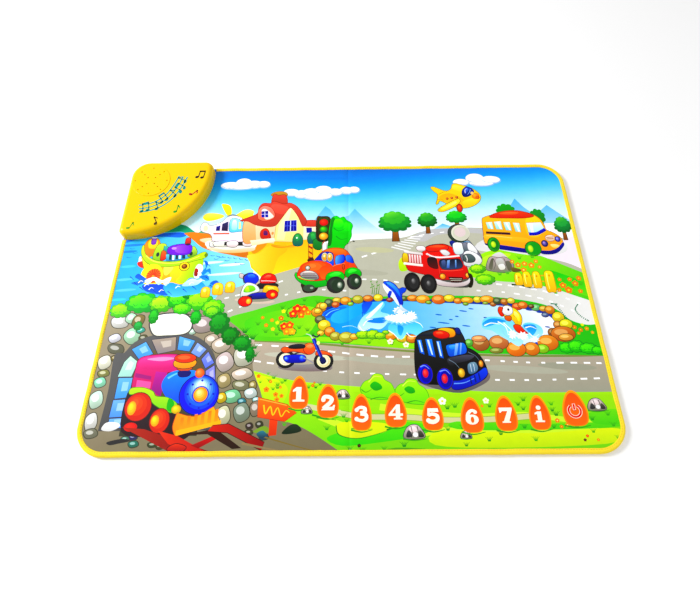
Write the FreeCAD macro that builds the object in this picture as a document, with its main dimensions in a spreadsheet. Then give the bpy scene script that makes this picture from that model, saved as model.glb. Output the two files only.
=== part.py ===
"""A children's musical touch mat: a printed, padded cloth mat with a plastic sound box clamped on one corner.

The mat is a stack of sheets inside a yellow binding tape. Touch keys are round patches of the cover, its
wadding and the upper contact film, over holes in a spacer sheet. The whole mat folds in half on one line.
Frame: origin on the floor under the middle of the mat, +X along the mat's length, +Y towards the back
edge, +Z up. The sound box is on the left end of the back edge. All sizes are in millimetres.
"""

import FreeCAD, Part

import math
import os
import re

import Sketcher

SIZES = {
    # the mat in plan
    "mat_length": 720, "mat_width": 477, "mat_corner": 40,
    # the mat's stack, from the floor up; the binding tape goes round all of it
    "tape": 0.6, "backing": 0.5, "base_foam": 1.8, "film": 0.2, "spacer": 1.0, "wadding": 0.8, "cover": 0.5,
    "binding_width": 7, "binding_round": 2.4, "hem": 2,
    # touch keys
    "number_key": 12, "picture_key": 16, "key_gap": 0.3, "dot_radius": 6, "dot_thick": 0.1,
    # the sound box in plan, from the mat's left and back edges
    "box_length": 134, "box_width": 144.5, "arc_radius": 124,
    "back_left_round": 30, "back_right_round": 14, "front_left_round": 9.5,
    "box_height": 25, "shell": 2.2, "base_plate": 2.8, "top_round": 8, "foot_round": 1, "clamp_depth": 12,
    "rim_start": 16.5, "seam": 0.2,
    # the speaker and its grille
    "speaker_x": -323.5, "speaker_y": 196, "grille_radius": 31, "grille_rise": 0.7, "grille_hole": 1.1,
    "speaker_radius": 25, "retainer_inner": 23.2, "retainer_outer": 30, "retainer_screws": 27.5,
    # the battery bay, for three AA cells side by side along X
    "bay_left": -352.5, "bay_front": 124.5, "bay_length": 56, "bay_width": 44.5, "bay_roof": 18,
    "bay_wall": 1.5, "cell_radius": 7.25, "cell_length": 49.5, "cell_axis": 9.6, "nub_radius": 2.75,
    "door_ledge": 2, "door_tail": 10, "door_seat": 1.8, "door_gap": 0.25, "door_low": 0.15, "door_thick": 1.6,
    "door_screw_in": 6,
    # the circuit board
    "board_left": -289, "board_front": 196, "board_length": 44, "board_width": 30, "board_low": 10,
    "board_thick": 1.2, "tail_front": 209.5, "tail_width": 16,
    # the slide switch under the box
    "switch_x": -268, "switch_y": 178, "switch_travel": 4, "knob_length": 4, "knob_width": 3,
    # screws
    "case_screw": 1.25, "case_head": 2.6, "case_head_low": 0.4, "case_head_high": 1.8, "boss": 3.2,
    "pilot_gap": 0.05, "boss_roof": 23, "pilot_roof": 15, "small_screw": 0.85, "small_head": 1.8,
    "lead_radius": 0.6,
}

# Centre of each touch key on the mat, and which size of patch it has.
KEYS = {
    "key_1": (-70, -153, "number_key"), "key_2": (-29.5, -166, "number_key"),
    "key_3": (16.5, -181, "number_key"), "key_4": (60.5, -180, "number_key"),
    "key_5": (111.5, -184, "number_key"), "key_6": (163, -187, "number_key"),
    "key_7": (207.5, -184, "number_key"), "key_high_1": (252, -183, "number_key"),
    "key_mode": (300, -180, "number_key"),
    "pad_train": (-210, -152, "picture_key"), "pad_boat": (-272, 50, "picture_key"),
    "pad_helicopter": (-188, 117, "picture_key"), "pad_scooter": (-137, 8, "picture_key"),
    "pad_car": (-32, 40, "picture_key"), "pad_motorbike": (-62, -100, "picture_key"),
    "pad_fire_engine": (138, 40, "picture_key"), "pad_plane": (181, 172, "picture_key"),
    "pad_bus": (266, 105, "picture_key"), "pad_taxi": (140, -107, "picture_key"),
}

# The sheets of the stack from the floor up: thickness cell, and whether the sheet runs into the clamp.
SHEETS = {
    "backing_cloth": ("backing", False), "base_foam": ("base_foam", False), "lower_film": ("film", True),
    "spacer_sheet": ("spacer", True), "upper_film": ("film", True), "wadding": ("wadding", True),
    "printed_cover": ("cover", True),
}
WITH_KEY_HOLES = ("spacer_sheet", "upper_film", "wadding", "printed_cover")

doc = FreeCAD.newDocument("TouchMat")
sheet = doc.addObject("Spreadsheet::Sheet", "Sizes")
for name, (x, y, _) in KEYS.items():
    SIZES[name + "_x"] = x
    SIZES[name + "_y"] = y
for row, (name, value) in enumerate(SIZES.items(), 1):
    sheet.set(f"A{row}", name)
    sheet.set(f"B{row}", str(value))
    sheet.setAlias(f"B{row}", name)
doc.recompute()
parts = {}


def cell(text):
    """An expression on cell names, such as "mat_length / 2", as FreeCAD wants it."""
    return re.sub(r"[a-z]\w*", lambda m: "Sizes." + m[0] if m[0] in SIZES else m[0], str(text))


def size(text):
    """The value of an expression on cell names."""
    return float(sheet.evalExpression(cell(text)))


def bind(thing, prop, text):
    thing.setExpression(prop, cell(text))


def new_body(label):
    body = doc.addObject("PartDesign::Body", label)
    body.Label = label
    parts[label] = body
    return body


def place(body, x="0", y="0", z="0"):
    for axis, text in zip("xyz", (x, y, z)):
        bind(body, f".Placement.Base.{axis}", text)


def new_sketch(body, name, level="0", plane="XY_Plane"):
    """A sketch on one of the body's own planes, lifted along that plane's normal."""
    sketch = body.newObject("Sketcher::SketchObject", f"{body.Label}_{name}")
    support = [f for f in body.Origin.OriginFeatures if f.Role == plane][0]
    sketch.AttachmentSupport = (support, [""])
    sketch.MapMode = "FlatFace"
    bind(sketch, ".AttachmentOffset.Base.z", level)
    return sketch


def fix(sketch, geometry, point, x, y):
    """Holds one point of a sketch at bound coordinates."""
    for kind, text in (("DistanceX", x), ("DistanceY", y)):
        index = sketch.addConstraint(Sketcher.Constraint(kind, geometry, point, size(text)))
        bind(sketch, f"Constraints[{index}]", text)


def draw_circle(sketch, x, y, radius):
    at = FreeCAD.Vector(size(x), size(y), 0)
    circle = sketch.addGeometry(Part.Circle(at, FreeCAD.Vector(0, 0, 1), size(radius)), False)
    fix(sketch, circle, 3, x, y)
    index = sketch.addConstraint(Sketcher.Constraint("Radius", circle, size(radius)))
    bind(sketch, f"Constraints[{index}]", radius)


def draw_polygon(sketch, corners):
    """A closed outline of straight lines; each corner is a pair of expressions."""
    points = [FreeCAD.Vector(size(x), size(y), 0) for x, y in corners]
    lines = [
        sketch.addGeometry(Part.LineSegment(a, b), False)
        for a, b in zip(points, points[1:] + points[:1])
    ]
    for line, following, (x, y) in zip(lines[-1:] + lines[:-1], lines, corners):
        sketch.addConstraint(Sketcher.Constraint("Coincident", line, 2, following, 1))
        fix(sketch, following, 1, x, y)


def draw_plate(sketch, left, front, right, back, rounds=("0", "0", "0", "0")):
    """A rectangle whose corners, from front left round to back left, are sharp or have their own radius."""
    corners = [(left, front), (right, front), (right, back), (left, back)]
    inwards = [(1, 1), (-1, 1), (-1, -1), (1, -1)]
    ends = []
    for (x, y), (towards_x, towards_y), radius in zip(corners, inwards, rounds):
        r = size(radius)
        if r == 0:
            ends.append((None, (x, y), FreeCAD.Vector(size(x), size(y), 0)))
            continue
        centre = FreeCAD.Vector(size(x) + towards_x * r, size(y) + towards_y * r, 0)
        first = math.atan2(-towards_y, -towards_x) - math.pi / 4
        circle = Part.Circle(centre, FreeCAD.Vector(0, 0, 1), r)
        arc = sketch.addGeometry(Part.ArcOfCircle(circle, first, first + math.pi / 2), False)
        plus = {1: "+", -1: "-"}
        fix(sketch, arc, 3, f"{x} {plus[towards_x]} ({radius})", f"{y} {plus[towards_y]} ({radius})")
        index = sketch.addConstraint(Sketcher.Constraint("Radius", arc, r))
        bind(sketch, f"Constraints[{index}]", radius)
        ends.append((arc, None, sketch.Geometry[arc]))
    start = [e[2].StartPoint if e[0] is not None else e[2] for e in ends]
    finish = [e[2].EndPoint if e[0] is not None else e[2] for e in ends]
    lines = [
        sketch.addGeometry(Part.LineSegment(finish[i], start[(i + 1) % 4]), False) for i in range(4)
    ]
    for i, (arc, corner, _) in enumerate(ends):
        before, after = lines[i - 1], lines[i]
        if arc is None:
            sketch.addConstraint(Sketcher.Constraint("Coincident", before, 2, after, 1))
            fix(sketch, after, 1, *corner)
        else:
            sketch.addConstraint(Sketcher.Constraint("Tangent", before, 2, arc, 1))
            sketch.addConstraint(Sketcher.Constraint("Tangent", arc, 2, after, 1))


def pad(body, sketch, height):
    feature = body.newObject("PartDesign::Pad", f"{sketch.Label}_pad")
    feature.Profile = sketch
    bind(feature, "Length", height)
    sketch.Visibility = False
    doc.recompute()
    return feature


def pocket(body, sketch, depth):
    """Cuts down from the sketch. A pocket that misses the solid is a mistake, so the volume has to fall."""
    before = body.Shape.Volume
    feature = body.newObject("PartDesign::Pocket", f"{sketch.Label}_pocket")
    feature.Profile = sketch
    bind(feature, "Length", depth)
    doc.recompute()
    if not body.Shape.Volume < before:
        raise RuntimeError(f"{sketch.Label} cuts nothing")
    return feature


def round_edges(body, radius, wanted):
    """Rounds the edges of the body's last feature that wanted(edge) picks."""
    base = body.Tip
    names = [f"Edge{i}" for i, edge in enumerate(base.Shape.Edges, 1) if wanted(edge)]
    if not names:
        raise RuntimeError(f"no edge of {body.Label} to round")
    feature = body.newObject("PartDesign::Fillet", f"{base.Label}_round")
    feature.Base = (base, names)
    bind(feature, "Radius", radius)
    doc.recompute()
    return feature


def flat_at(z):
    return lambda edge: all(abs(v.Z - z) < 1e-4 for v in edge.Vertexes)


def revolve(label, points, z="0"):
    """A turned piece on the speaker's axis; points are (radius, height) pairs from the speaker's front."""
    body = new_body(label)
    sketch = new_sketch(body, "profile", "0", "XZ_Plane")
    draw_polygon(sketch, points)
    feature = body.newObject("PartDesign::Revolution", label + "_turned")
    feature.Profile = sketch
    feature.ReferenceAxis = (sketch, ["V_Axis"])
    feature.Angle = 360
    place(body, "speaker_x", "speaker_y", z)
    doc.recompute()
    return body


def group(label, shapes):
    """Several like pieces as one sub-part of separate solids."""
    feature = doc.addObject("Part::Feature", label)
    feature.Label = label
    feature.Shape = Part.makeCompound(shapes)
    parts[label] = feature


def screw(shank, head, head_low, head_high, tip, x, y, points_up=True):
    """A cross-head screw: a head, a shank with a pointed end, and a cross in the head."""
    length = tip - head_high
    slot = head * 0.62
    depth = (head_high - head_low) * 0.6
    body = Part.makeCylinder(head, head_high - head_low, FreeCAD.Vector(0, 0, head_low))
    body = body.fuse(Part.makeCylinder(shank, length - shank, FreeCAD.Vector(0, 0, head_high)))
    body = body.fuse(Part.makeCone(shank, shank * 0.4, shank, FreeCAD.Vector(0, 0, tip - shank)))
    for turn in (0, 90):
        arm = Part.makeBox(2 * slot, slot * 0.4, depth, FreeCAD.Vector(-slot, -slot * 0.2, head_low))
        body = body.cut(arm.rotated(FreeCAD.Vector(), FreeCAD.Vector(0, 0, 1), turn))
    if not points_up:
        middle = FreeCAD.Vector(0, 0, (head_low + tip) / 2)
        body = body.rotated(middle, FreeCAD.Vector(1, 0, 0), 180)
    return body.removeSplitter().translated(FreeCAD.Vector(x, y, 0))


# ---------------------------------------------------------------- places worked out from the sizes
LEFT, RIGHT = "-mat_length / 2", "mat_length / 2"
FRONT, BACK = "-mat_width / 2", "mat_width / 2"
BOX_RIGHT, BOX_FRONT = "-mat_length / 2 + box_length", "mat_width / 2 - box_width"
ARC_X, ARC_Y = f"{BOX_RIGHT} - arc_radius", f"{BOX_FRONT} + arc_radius"
OVER = 8  # how far a cut runs past the edge that it cuts
STACK_TOP = " + ".join(["tape"] + [thick for thick, _ in SHEETS.values()])
CEILING = "box_height - shell"
CLAMP_SCREWS = [  # on an arc through the middle of the clamped strip, at these angles below +X
    (
        f"{ARC_X} + (arc_radius - clamp_depth / 2) * {math.cos(math.radians(angle)):.5f}",
        f"{ARC_Y} - (arc_radius - clamp_depth / 2) * {math.sin(math.radians(angle)):.5f}",
    )
    for angle in (18, 45, 72)
]
POST_SCREWS = [("-346", "225"), ("-250", "231"), ("-348.5", "115")]
BOARD_POSTS = [("-285.5", "222.5"), ("-249", "203"), ("-267", "199.5")]
RETAINER_ANGLES = (90, 210, 330)


def box_outline(sketch, inset):
    """The sound box in plan: a rectangle with one very large round, drawn in from its edge by inset."""
    draw_plate(
        sketch, f"{LEFT} + {inset}", f"{BOX_FRONT} + {inset}", f"{BOX_RIGHT} - {inset}", f"{BACK} - {inset}",
        (f"front_left_round - {inset}", f"arc_radius - {inset}",
         f"back_right_round - {inset}", f"back_left_round - {inset}"),
    )


# ---------------------------------------------------------------- the mat
def half_plate(sketch, side, inset):
    """One half of the mat in plan, with its two outer corners rounded."""
    corner = f"mat_corner - {inset}"
    if side == "left":
        draw_plate(sketch, f"{LEFT} + {inset}", f"{FRONT} + {inset}", "0", f"{BACK} - {inset}",
                   (corner, "0", "0", corner))
    else:
        draw_plate(sketch, "0", f"{FRONT} + {inset}", f"{RIGHT} - {inset}", f"{BACK} - {inset}",
                   ("0", corner, corner, "0"))


def make_sheet(name, side, low, thick, clamped):
    """One half of one sheet of the stack."""
    body = new_body(f"{name}_{side}")
    top = f"{low} + {thick}"
    plan = new_sketch(body, "plan", low)
    half_plate(plan, side, "hem")
    pad(body, plan, thick)
    if side == "left":
        corner = new_sketch(body, "box_corner", top)
        inset = "clamp_depth" if clamped else "-seam"
        draw_plate(corner, f"{LEFT} - {OVER}", f"{BOX_FRONT} + ({inset})", f"{BOX_RIGHT} - ({inset})",
                   f"{BACK} + {OVER}", ("0", f"arc_radius - ({inset})", "0", "0"))
        pocket(body, corner, thick)
        if clamped:
            ends = new_sketch(body, "clamp_ends", top)
            draw_plate(ends, f"{LEFT} - {OVER}", f"{BOX_FRONT} + seam", f"{LEFT} + 2.5 * shell",
                       f"{BOX_FRONT} + rim_start")
            draw_plate(ends, f"{BOX_RIGHT} - rim_start", f"{BACK} - 2.5 * shell", f"{BOX_RIGHT} - seam",
                       f"{BACK} + {OVER}")
            pocket(body, ends, thick)
            holes = new_sketch(body, "screw_holes", top)
            for x, y in CLAMP_SCREWS:
                draw_circle(holes, x, y, "case_screw + 0.75")
            pocket(body, holes, thick)
    if name in WITH_KEY_HOLES:
        holes = new_sketch(body, "key_holes", top)
        for key, (x, _, kind) in KEYS.items():
            if (x < 0) == (side == "left"):
                draw_circle(holes, key + "_x", key + "_y", kind + " + key_gap")
        pocket(body, holes, thick)


def make_binding(side):
    """The tape round the edge: a C-shaped channel with rounded outer edges, open at the fold."""
    body = new_body(f"edge_binding_{side}")
    plan = new_sketch(body, "plan")
    half_plate(plan, side, "0")
    pad(body, plan, f"{STACK_TOP} + tape")
    top = size(f"{STACK_TOP} + tape")
    round_edges(body, "binding_round", lambda e: (flat_at(0)(e) or flat_at(top)(e))
                and not all(abs(v.X) < 1e-6 for v in e.Vertexes))
    window = new_sketch(body, "window", f"{STACK_TOP} + tape")
    half_plate(window, side, "binding_width")
    pocket(body, window, f"{STACK_TOP} + tape")
    slot = new_sketch(body, "slot", STACK_TOP)
    half_plate(slot, side, "hem")
    pocket(body, slot, f"{STACK_TOP} - tape")
    if side == "left":
        corner = new_sketch(body, "box_corner", f"{STACK_TOP} + tape")
        draw_plate(corner, f"{LEFT} - {OVER}", f"{BOX_FRONT} - seam", f"{BOX_RIGHT} + seam", f"{BACK} + {OVER}",
                   ("0", "arc_radius + seam", "0", "0"))
        pocket(body, corner, f"{STACK_TOP} + tape")


def make_key(name, kind):
    """A touch key: a round patch of upper film, wadding and cover, with a carbon dot under it."""
    body = new_body(name)
    low = " + ".join(["tape", "backing", "base_foam", "film", "spacer"])
    patch = new_sketch(body, "patch", low)
    draw_circle(patch, "0", "0", kind)
    pad(body, patch, "film + wadding + cover")
    dot = new_sketch(body, "dot", f"{low} - dot_thick")
    draw_circle(dot, "0", "0", "dot_radius")
    pad(body, dot, "dot_thick")
    place(body, name + "_x", name + "_y")


for side in ("left", "right"):
    low = "tape"
    for name, (thick, clamped) in SHEETS.items():
        make_sheet(name, side, low, thick, clamped)
        low += " + " + thick
    make_binding(side)
for name, (_, _, kind) in KEYS.items():
    make_key(name, kind)


# ---------------------------------------------------------------- the sound box: casing
def make_top_shell():
    body = new_body("box_top_shell")
    plan = new_sketch(body, "plan", STACK_TOP)
    box_outline(plan, "0")
    pad(body, plan, f"box_height - ({STACK_TOP})")
    inside = new_sketch(body, "inside", CEILING)
    box_outline(inside, "shell")
    pocket(body, inside, f"{CEILING} - ({STACK_TOP})")
    round_edges(body, "top_round - shell", flat_at(size(CEILING)))
    round_edges(body, "top_round", flat_at(size("box_height")))
    disc = new_sketch(body, "grille_disc", "box_height - 1")
    draw_circle(disc, "speaker_x", "speaker_y", "grille_radius")
    pad(body, disc, "1 + grille_rise")
    round_edges(body, "grille_rise * 0.7", flat_at(size("box_height + grille_rise")))
    for low, spots, name in (
        (STACK_TOP, CLAMP_SCREWS, "clamp_bosses"),
        ("base_plate", POST_SCREWS, "corner_bosses"),
    ):
        bosses = new_sketch(body, name, low)
        for x, y in spots:
            draw_circle(bosses, x, y, "boss")
        pad(body, bosses, f"boss_roof - ({low})")
    pilots = new_sketch(body, "pilots", "pilot_roof")
    for x, y in CLAMP_SCREWS + POST_SCREWS:
        draw_circle(pilots, x, y, "case_screw + pilot_gap")
    pocket(body, pilots, "pilot_roof - base_plate")
    seats = new_sketch(body, "retainer_seats", f"{CEILING} - 1.2")
    for x, y in retainer_spots():
        draw_circle(seats, x, y, "2.4")
    pad(body, seats, "1.4")
    threads = new_sketch(body, "retainer_pilots", f"{CEILING} + 1")
    for x, y in retainer_spots():
        draw_circle(threads, x, y, "small_screw + pilot_gap")
    pocket(body, threads, "2.2")
    holes = new_sketch(body, "grille_holes", "box_height + 1")
    for x, y in grille_spots():
        draw_circle(holes, x, y, "grille_hole")
    pocket(body, holes, "shell + 2")


def around(radius, angle, x="speaker_x", y="speaker_y"):
    turn = math.radians(angle)
    return f"{x} + {radius} * {math.cos(turn):.5f}", f"{y} + {radius} * {math.sin(turn):.5f}"


def retainer_spots():
    return [around("retainer_screws", angle) for angle in RETAINER_ANGLES]


def grille_spots():
    """Four holes near the middle, four further out on the same diagonals, and eight round the rim."""
    spots = [around(radius, angle) for radius in (8.8, 17.6) for angle in (45, 135, 225, 315)]
    return spots + [around(26, angle) for angle in range(0, 360, 45)]


def make_bottom_shell():
    body = new_body("box_bottom_shell")
    plan = new_sketch(body, "plan")
    box_outline(plan, "0")
    pad(body, plan, "base_plate")
    round_edges(body, "foot_round", flat_at(0))
    rim = new_sketch(body, "rim", "base_plate")
    box_outline(rim, "0")
    box_outline(rim, "shell")
    pad(body, rim, f"{STACK_TOP} - base_plate")
    clamp_side = new_sketch(body, "clamp_side", STACK_TOP)
    draw_polygon(clamp_side, [
        (f"{LEFT} - {OVER}", f"{BOX_FRONT} - {OVER}"), (f"{BOX_RIGHT} + {OVER}", f"{BOX_FRONT} - {OVER}"),
        (f"{BOX_RIGHT} + {OVER}", f"{BACK} + {OVER}"), (f"{BOX_RIGHT} - rim_start", f"{BACK} + {OVER}"),
        (f"{BOX_RIGHT} - rim_start", f"{BACK} - rim_start"), (f"{LEFT} + rim_start", f"{BOX_FRONT} + rim_start"),
        (f"{LEFT} - {OVER}", f"{BOX_FRONT} + rim_start"),
    ])
    pocket(body, clamp_side, f"{STACK_TOP} - base_plate")
    bay = new_sketch(body, "bay_walls", "base_plate")
    draw_plate(bay, "bay_left - bay_wall", "bay_front - bay_wall", "bay_left + bay_length + bay_wall",
               "bay_front + bay_width + bay_wall", ("2", "2", "2", "2"))
    pad(body, bay, "bay_roof + bay_wall - base_plate")
    posts = new_sketch(body, "board_posts", "base_plate")
    for x, y in BOARD_POSTS:
        draw_circle(posts, x, y, "2.5")
    pad(body, posts, "board_low - base_plate")
    boss = new_sketch(body, "door_boss", "base_plate")
    draw_circle(boss, DOOR_SCREW[0], DOOR_SCREW[1], "boss")
    pad(body, boss, "board_low - base_plate")
    hollow = new_sketch(body, "bay_hollow", "bay_roof")
    draw_plate(hollow, "bay_left", "bay_front", "bay_left + bay_length", "bay_front + bay_width",
               ("1", "1", "1", "1"))
    pocket(body, hollow, "bay_roof")
    seat = new_sketch(body, "door_seat", "door_seat")
    door_outline(seat, "0")
    pocket(body, seat, "door_seat")
    holes = new_sketch(body, "case_holes", "base_plate")
    for x, y in CLAMP_SCREWS + POST_SCREWS:
        draw_circle(holes, x, y, "case_screw + 0.25")
    pocket(body, holes, "base_plate")
    heads = new_sketch(body, "head_seats", "case_head_high")
    for x, y in CLAMP_SCREWS + POST_SCREWS:
        draw_circle(heads, x, y, "case_head + 0.3")
    pocket(body, heads, "case_head_high")
    pilots = new_sketch(body, "board_pilots", "board_low")
    for x, y in BOARD_POSTS:
        draw_circle(pilots, x, y, "small_screw + pilot_gap")
    pocket(body, pilots, "board_low - base_plate")
    swing = new_sketch(body, "door_screw_hole", "board_low")
    draw_circle(swing, DOOR_SCREW[0], DOOR_SCREW[1], "case_screw + 0.6")
    pocket(body, swing, "board_low")
    slot = new_sketch(body, "switch_slot", "base_plate")
    draw_plate(slot, "switch_x - knob_length / 2 - 0.3", "switch_y - knob_width / 2 - 0.3",
               "switch_x + knob_length / 2 + switch_travel + 0.3", "switch_y + knob_width / 2 + 0.3")
    pocket(body, slot, "base_plate")


DOOR_SCREW = ("bay_left + bay_length + door_screw_in", "bay_front + bay_width / 2")


def door_outline(sketch, inset):
    draw_plate(
        sketch, f"bay_left - door_ledge + {inset}", f"bay_front - door_ledge + {inset}",
        f"bay_left + bay_length + door_tail - {inset}", f"bay_front + bay_width + door_ledge - {inset}",
        ("3", "3", "3", "3"),
    )


def make_door():
    """The battery door: a flat plate with a sunk screw at one end and finger ribs at the other."""
    body = new_body("battery_door")
    plan = new_sketch(body, "plan", "door_low")
    door_outline(plan, "door_gap")
    pad(body, plan, "door_thick")
    sunk = new_sketch(body, "screw_seat", "1.2")
    draw_circle(sunk, *DOOR_SCREW, "case_head + 0.2")
    pocket(body, sunk, "1.2 - door_low")
    hole = new_sketch(body, "screw_hole", "door_low + door_thick")
    draw_circle(hole, *DOOR_SCREW, "case_screw + 0.2")
    pocket(body, hole, "door_thick")
    ribs = new_sketch(body, "finger_grooves", "door_low + 0.5")
    for number in range(5):
        left = f"bay_left + 4 + {number} * 3"
        draw_plate(ribs, left, "bay_front + 12", f"{left} + 1.2", "bay_front + bay_width - 12")
    pocket(body, ribs, "0.5")


make_top_shell()
make_bottom_shell()
make_door()

sizes_of_case_screw = [size(n) for n in ("case_screw", "case_head", "case_head_low", "case_head_high")]
group("case_screws", [screw(*sizes_of_case_screw, 13.5, size(x), size(y)) for x, y in CLAMP_SCREWS + POST_SCREWS])
group("battery_door_screw", [
    screw(size("case_screw"), size("case_head"), 0.3, 1.2, 8, *[size(v) for v in DOOR_SCREW])
])


# ---------------------------------------------------------------- the sound box: speaker
def turned(pairs):
    return [(str(r), str(z)) for r, z in pairs]


revolve("speaker_frame", turned([
    (7.7, -9.6), (13.5, -9.6), (23, -3.6), (23, -1.2), (25, -1.2), (25, 0), (22, 0), (22, -3.2),
    (13.1, -8.8), (7.7, -8.8),
]), CEILING)
revolve("speaker_magnet", turned([
    (0, -15.6), (14, -15.6), (14, -9.6), (7.7, -9.6), (7.7, -13), (6.2, -13), (6.2, -8.2), (0, -8.2),
]), CEILING)
revolve("speaker_cone", turned([
    (6.9, -11.8), (7.3, -11.8), (7.3, -7.8), (18.6, -2.6), (19.6, -1.9), (21.6, -1.9), (21.6, -1.5),
    (19.4, -1.5), (18.4, -2.2), (7.1, -7.3), (6.9, -7.3),
]), CEILING)
revolve("speaker_dust_cap", turned([
    (0, -7.3), (6.9, -7.3), (6.6, -6.8), (5.4, -6.2), (3.4, -5.7), (0, -5.5),
]), CEILING)


def make_retainer():
    """The ring that holds the speaker's rim up against the inside of the top shell."""
    body = new_body("speaker_retainer")
    ring = new_sketch(body, "ring", f"{CEILING} - 2.7")
    draw_circle(ring, "speaker_x", "speaker_y", "retainer_outer")
    draw_circle(ring, "speaker_x", "speaker_y", "retainer_inner")
    pad(body, ring, "1.5")
    holes = new_sketch(body, "holes", f"{CEILING} - 1.2")
    for x, y in retainer_spots():
        draw_circle(holes, x, y, "small_screw + 0.2")
    pocket(body, holes, "1.5")


make_retainer()
group("speaker_screws", [
    screw(size("small_screw"), size("small_head"), size(f"{CEILING} - 3.7"), size(f"{CEILING} - 2.7"),
          size(f"{CEILING} + 0.6"), size(x), size(y))
    for x, y in retainer_spots()
])


# ---------------------------------------------------------------- the sound box: circuit board and switch
BOARD_TOP = "board_low + board_thick"


def make_board():
    body = new_body("circuit_board")
    plan = new_sketch(body, "plan", "board_low")
    draw_plate(plan, "board_left", "board_front", "board_left + board_length", "board_front + board_width",
               ("1", "1", "1", "1"))
    pad(body, plan, "board_thick")
    holes = new_sketch(body, "holes", BOARD_TOP)
    for x, y in BOARD_POSTS:
        draw_circle(holes, x, y, "small_screw + 0.15")
    pocket(body, holes, "board_thick")


def make_chip():
    """The sound chip under its drop of black resin."""
    body = new_body("sound_chip")
    drop = new_sketch(body, "drop", BOARD_TOP)
    draw_circle(drop, "-266", "211", "5")
    pad(body, drop, "1.4")
    round_edges(body, "1.2", flat_at(size(f"{BOARD_TOP} + 1.4")))


def make_tail_clamp():
    """The bar that presses the contact film's tail on the board's pads."""
    body = new_body("tail_clamp_bar")
    plan = new_sketch(body, "plan", f"{BOARD_TOP} + film")
    draw_plate(plan, "-250.5", "tail_front - 0.5", "-246.5", "tail_front + tail_width + 0.5")
    pad(body, plan, "2.4")
    round_edges(body, "0.6", flat_at(size(f"{BOARD_TOP} + film + 2.4")))


def make_film_tail():
    """The strip of printed film that carries the key contacts from the mat up on to the board."""
    body = new_body("film_tail")
    start, rise, end = "-238.4", "-242.6", "-251"
    low = "tape + backing + base_foam"
    profile = new_sketch(body, "profile", "-tail_front - tail_width", "XZ_Plane")
    draw_polygon(profile, [
        (start, low), (start, f"{low} + film"), (f"{rise} + film", f"{low} + film"),
        (f"{rise} + film", f"{BOARD_TOP} + film"), (end, f"{BOARD_TOP} + film"), (end, BOARD_TOP),
        (rise, BOARD_TOP), (rise, low),
    ])
    pad(body, profile, "tail_width")


def make_switch():
    """A slide switch: its body on the bottom shell, and the knob that comes out through the slot."""
    body = new_body("power_switch_body")
    middle, width, high = "switch_x + switch_travel / 2", "knob_width / 2 + 1.4", "base_plate + 5"
    plan = new_sketch(body, "plan", "base_plate")
    draw_plate(plan, f"{middle} - 7", f"switch_y - ({width})", f"{middle} + 7", f"switch_y + {width}")
    pad(body, plan, "5")
    inside = new_sketch(body, "inside", f"{high} - 1.5")
    draw_plate(inside, "switch_x - knob_length / 2 - 0.3", "switch_y - knob_width / 2 - 0.15",
               "switch_x + knob_length / 2 + switch_travel + 0.3", "switch_y + knob_width / 2 + 0.15")
    pocket(body, inside, "3.5")
    knob = new_body("power_switch_knob")
    plan = new_sketch(knob, "plan", "0.5")
    draw_plate(plan, "switch_x - knob_length / 2", "switch_y - knob_width / 2",
               "switch_x + knob_length / 2", "switch_y + knob_width / 2")
    pad(knob, plan, "base_plate + 2.5")
    grip = new_sketch(knob, "grip", "1")
    for step in (-1.1, 0, 1.1):
        draw_plate(grip, f"switch_x + {step} - 0.2", "switch_y - knob_width", f"switch_x + {step} + 0.2",
                   "switch_y + knob_width")
    pocket(knob, grip, "0.5")


make_board()
make_chip()
make_tail_clamp()
make_film_tail()
make_switch()
board_top = size(BOARD_TOP)
group("board_parts", [
    Part.makeCylinder(2.5, 7, FreeCAD.Vector(-277, 219, board_top)),
    Part.makeCylinder(2, 5.5, FreeCAD.Vector(-270.5, 220.5, board_top)),
    Part.makeBox(4, 2, 1.2, FreeCAD.Vector(-258, 204, board_top)),
    Part.makeBox(2, 4, 1.2, FreeCAD.Vector(-257, 215, board_top)),
    Part.makeBox(4.5, 3.5, 4, FreeCAD.Vector(-279, 204.5, board_top)),
])
group("board_screws", [
    screw(size("small_screw"), size("small_head"), 0, 1.2, 7.2, size(x), size(y), False)
    .translated(FreeCAD.Vector(0, 0, board_top + 1.2 - 7.2))
    for x, y in BOARD_POSTS
])


# ---------------------------------------------------------------- the sound box: batteries and leads
def bay_places():
    """For each cell: the Y of its axis, and 1 if its nub is at the bay's right end or -1 if at its left."""
    pitch = size("bay_width / 3")
    return [(size("bay_front") + pitch * (i + 0.5), (1, -1, 1)[i]) for i in range(3)]


def cell_shape(y, facing):
    """An AA cell lying along X, with its nub against a plate and a spring behind it."""
    radius, length, nub = size("cell_radius"), size("cell_length"), size("nub_radius")
    middle = size("bay_left + bay_length / 2") + facing * 1.9
    along = FreeCAD.Vector(facing, 0, 0)
    base = FreeCAD.Vector(middle - facing * (length / 2 + 0.5), y, size("cell_axis"))
    can = Part.makeCylinder(radius, length, base, along)
    can = can.makeFillet(0.6, [e for e in can.Edges if len(e.Vertexes) == 1])
    return can.fuse(Part.makeCylinder(nub, 1, base + along * length, along)).removeSplitter()


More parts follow.
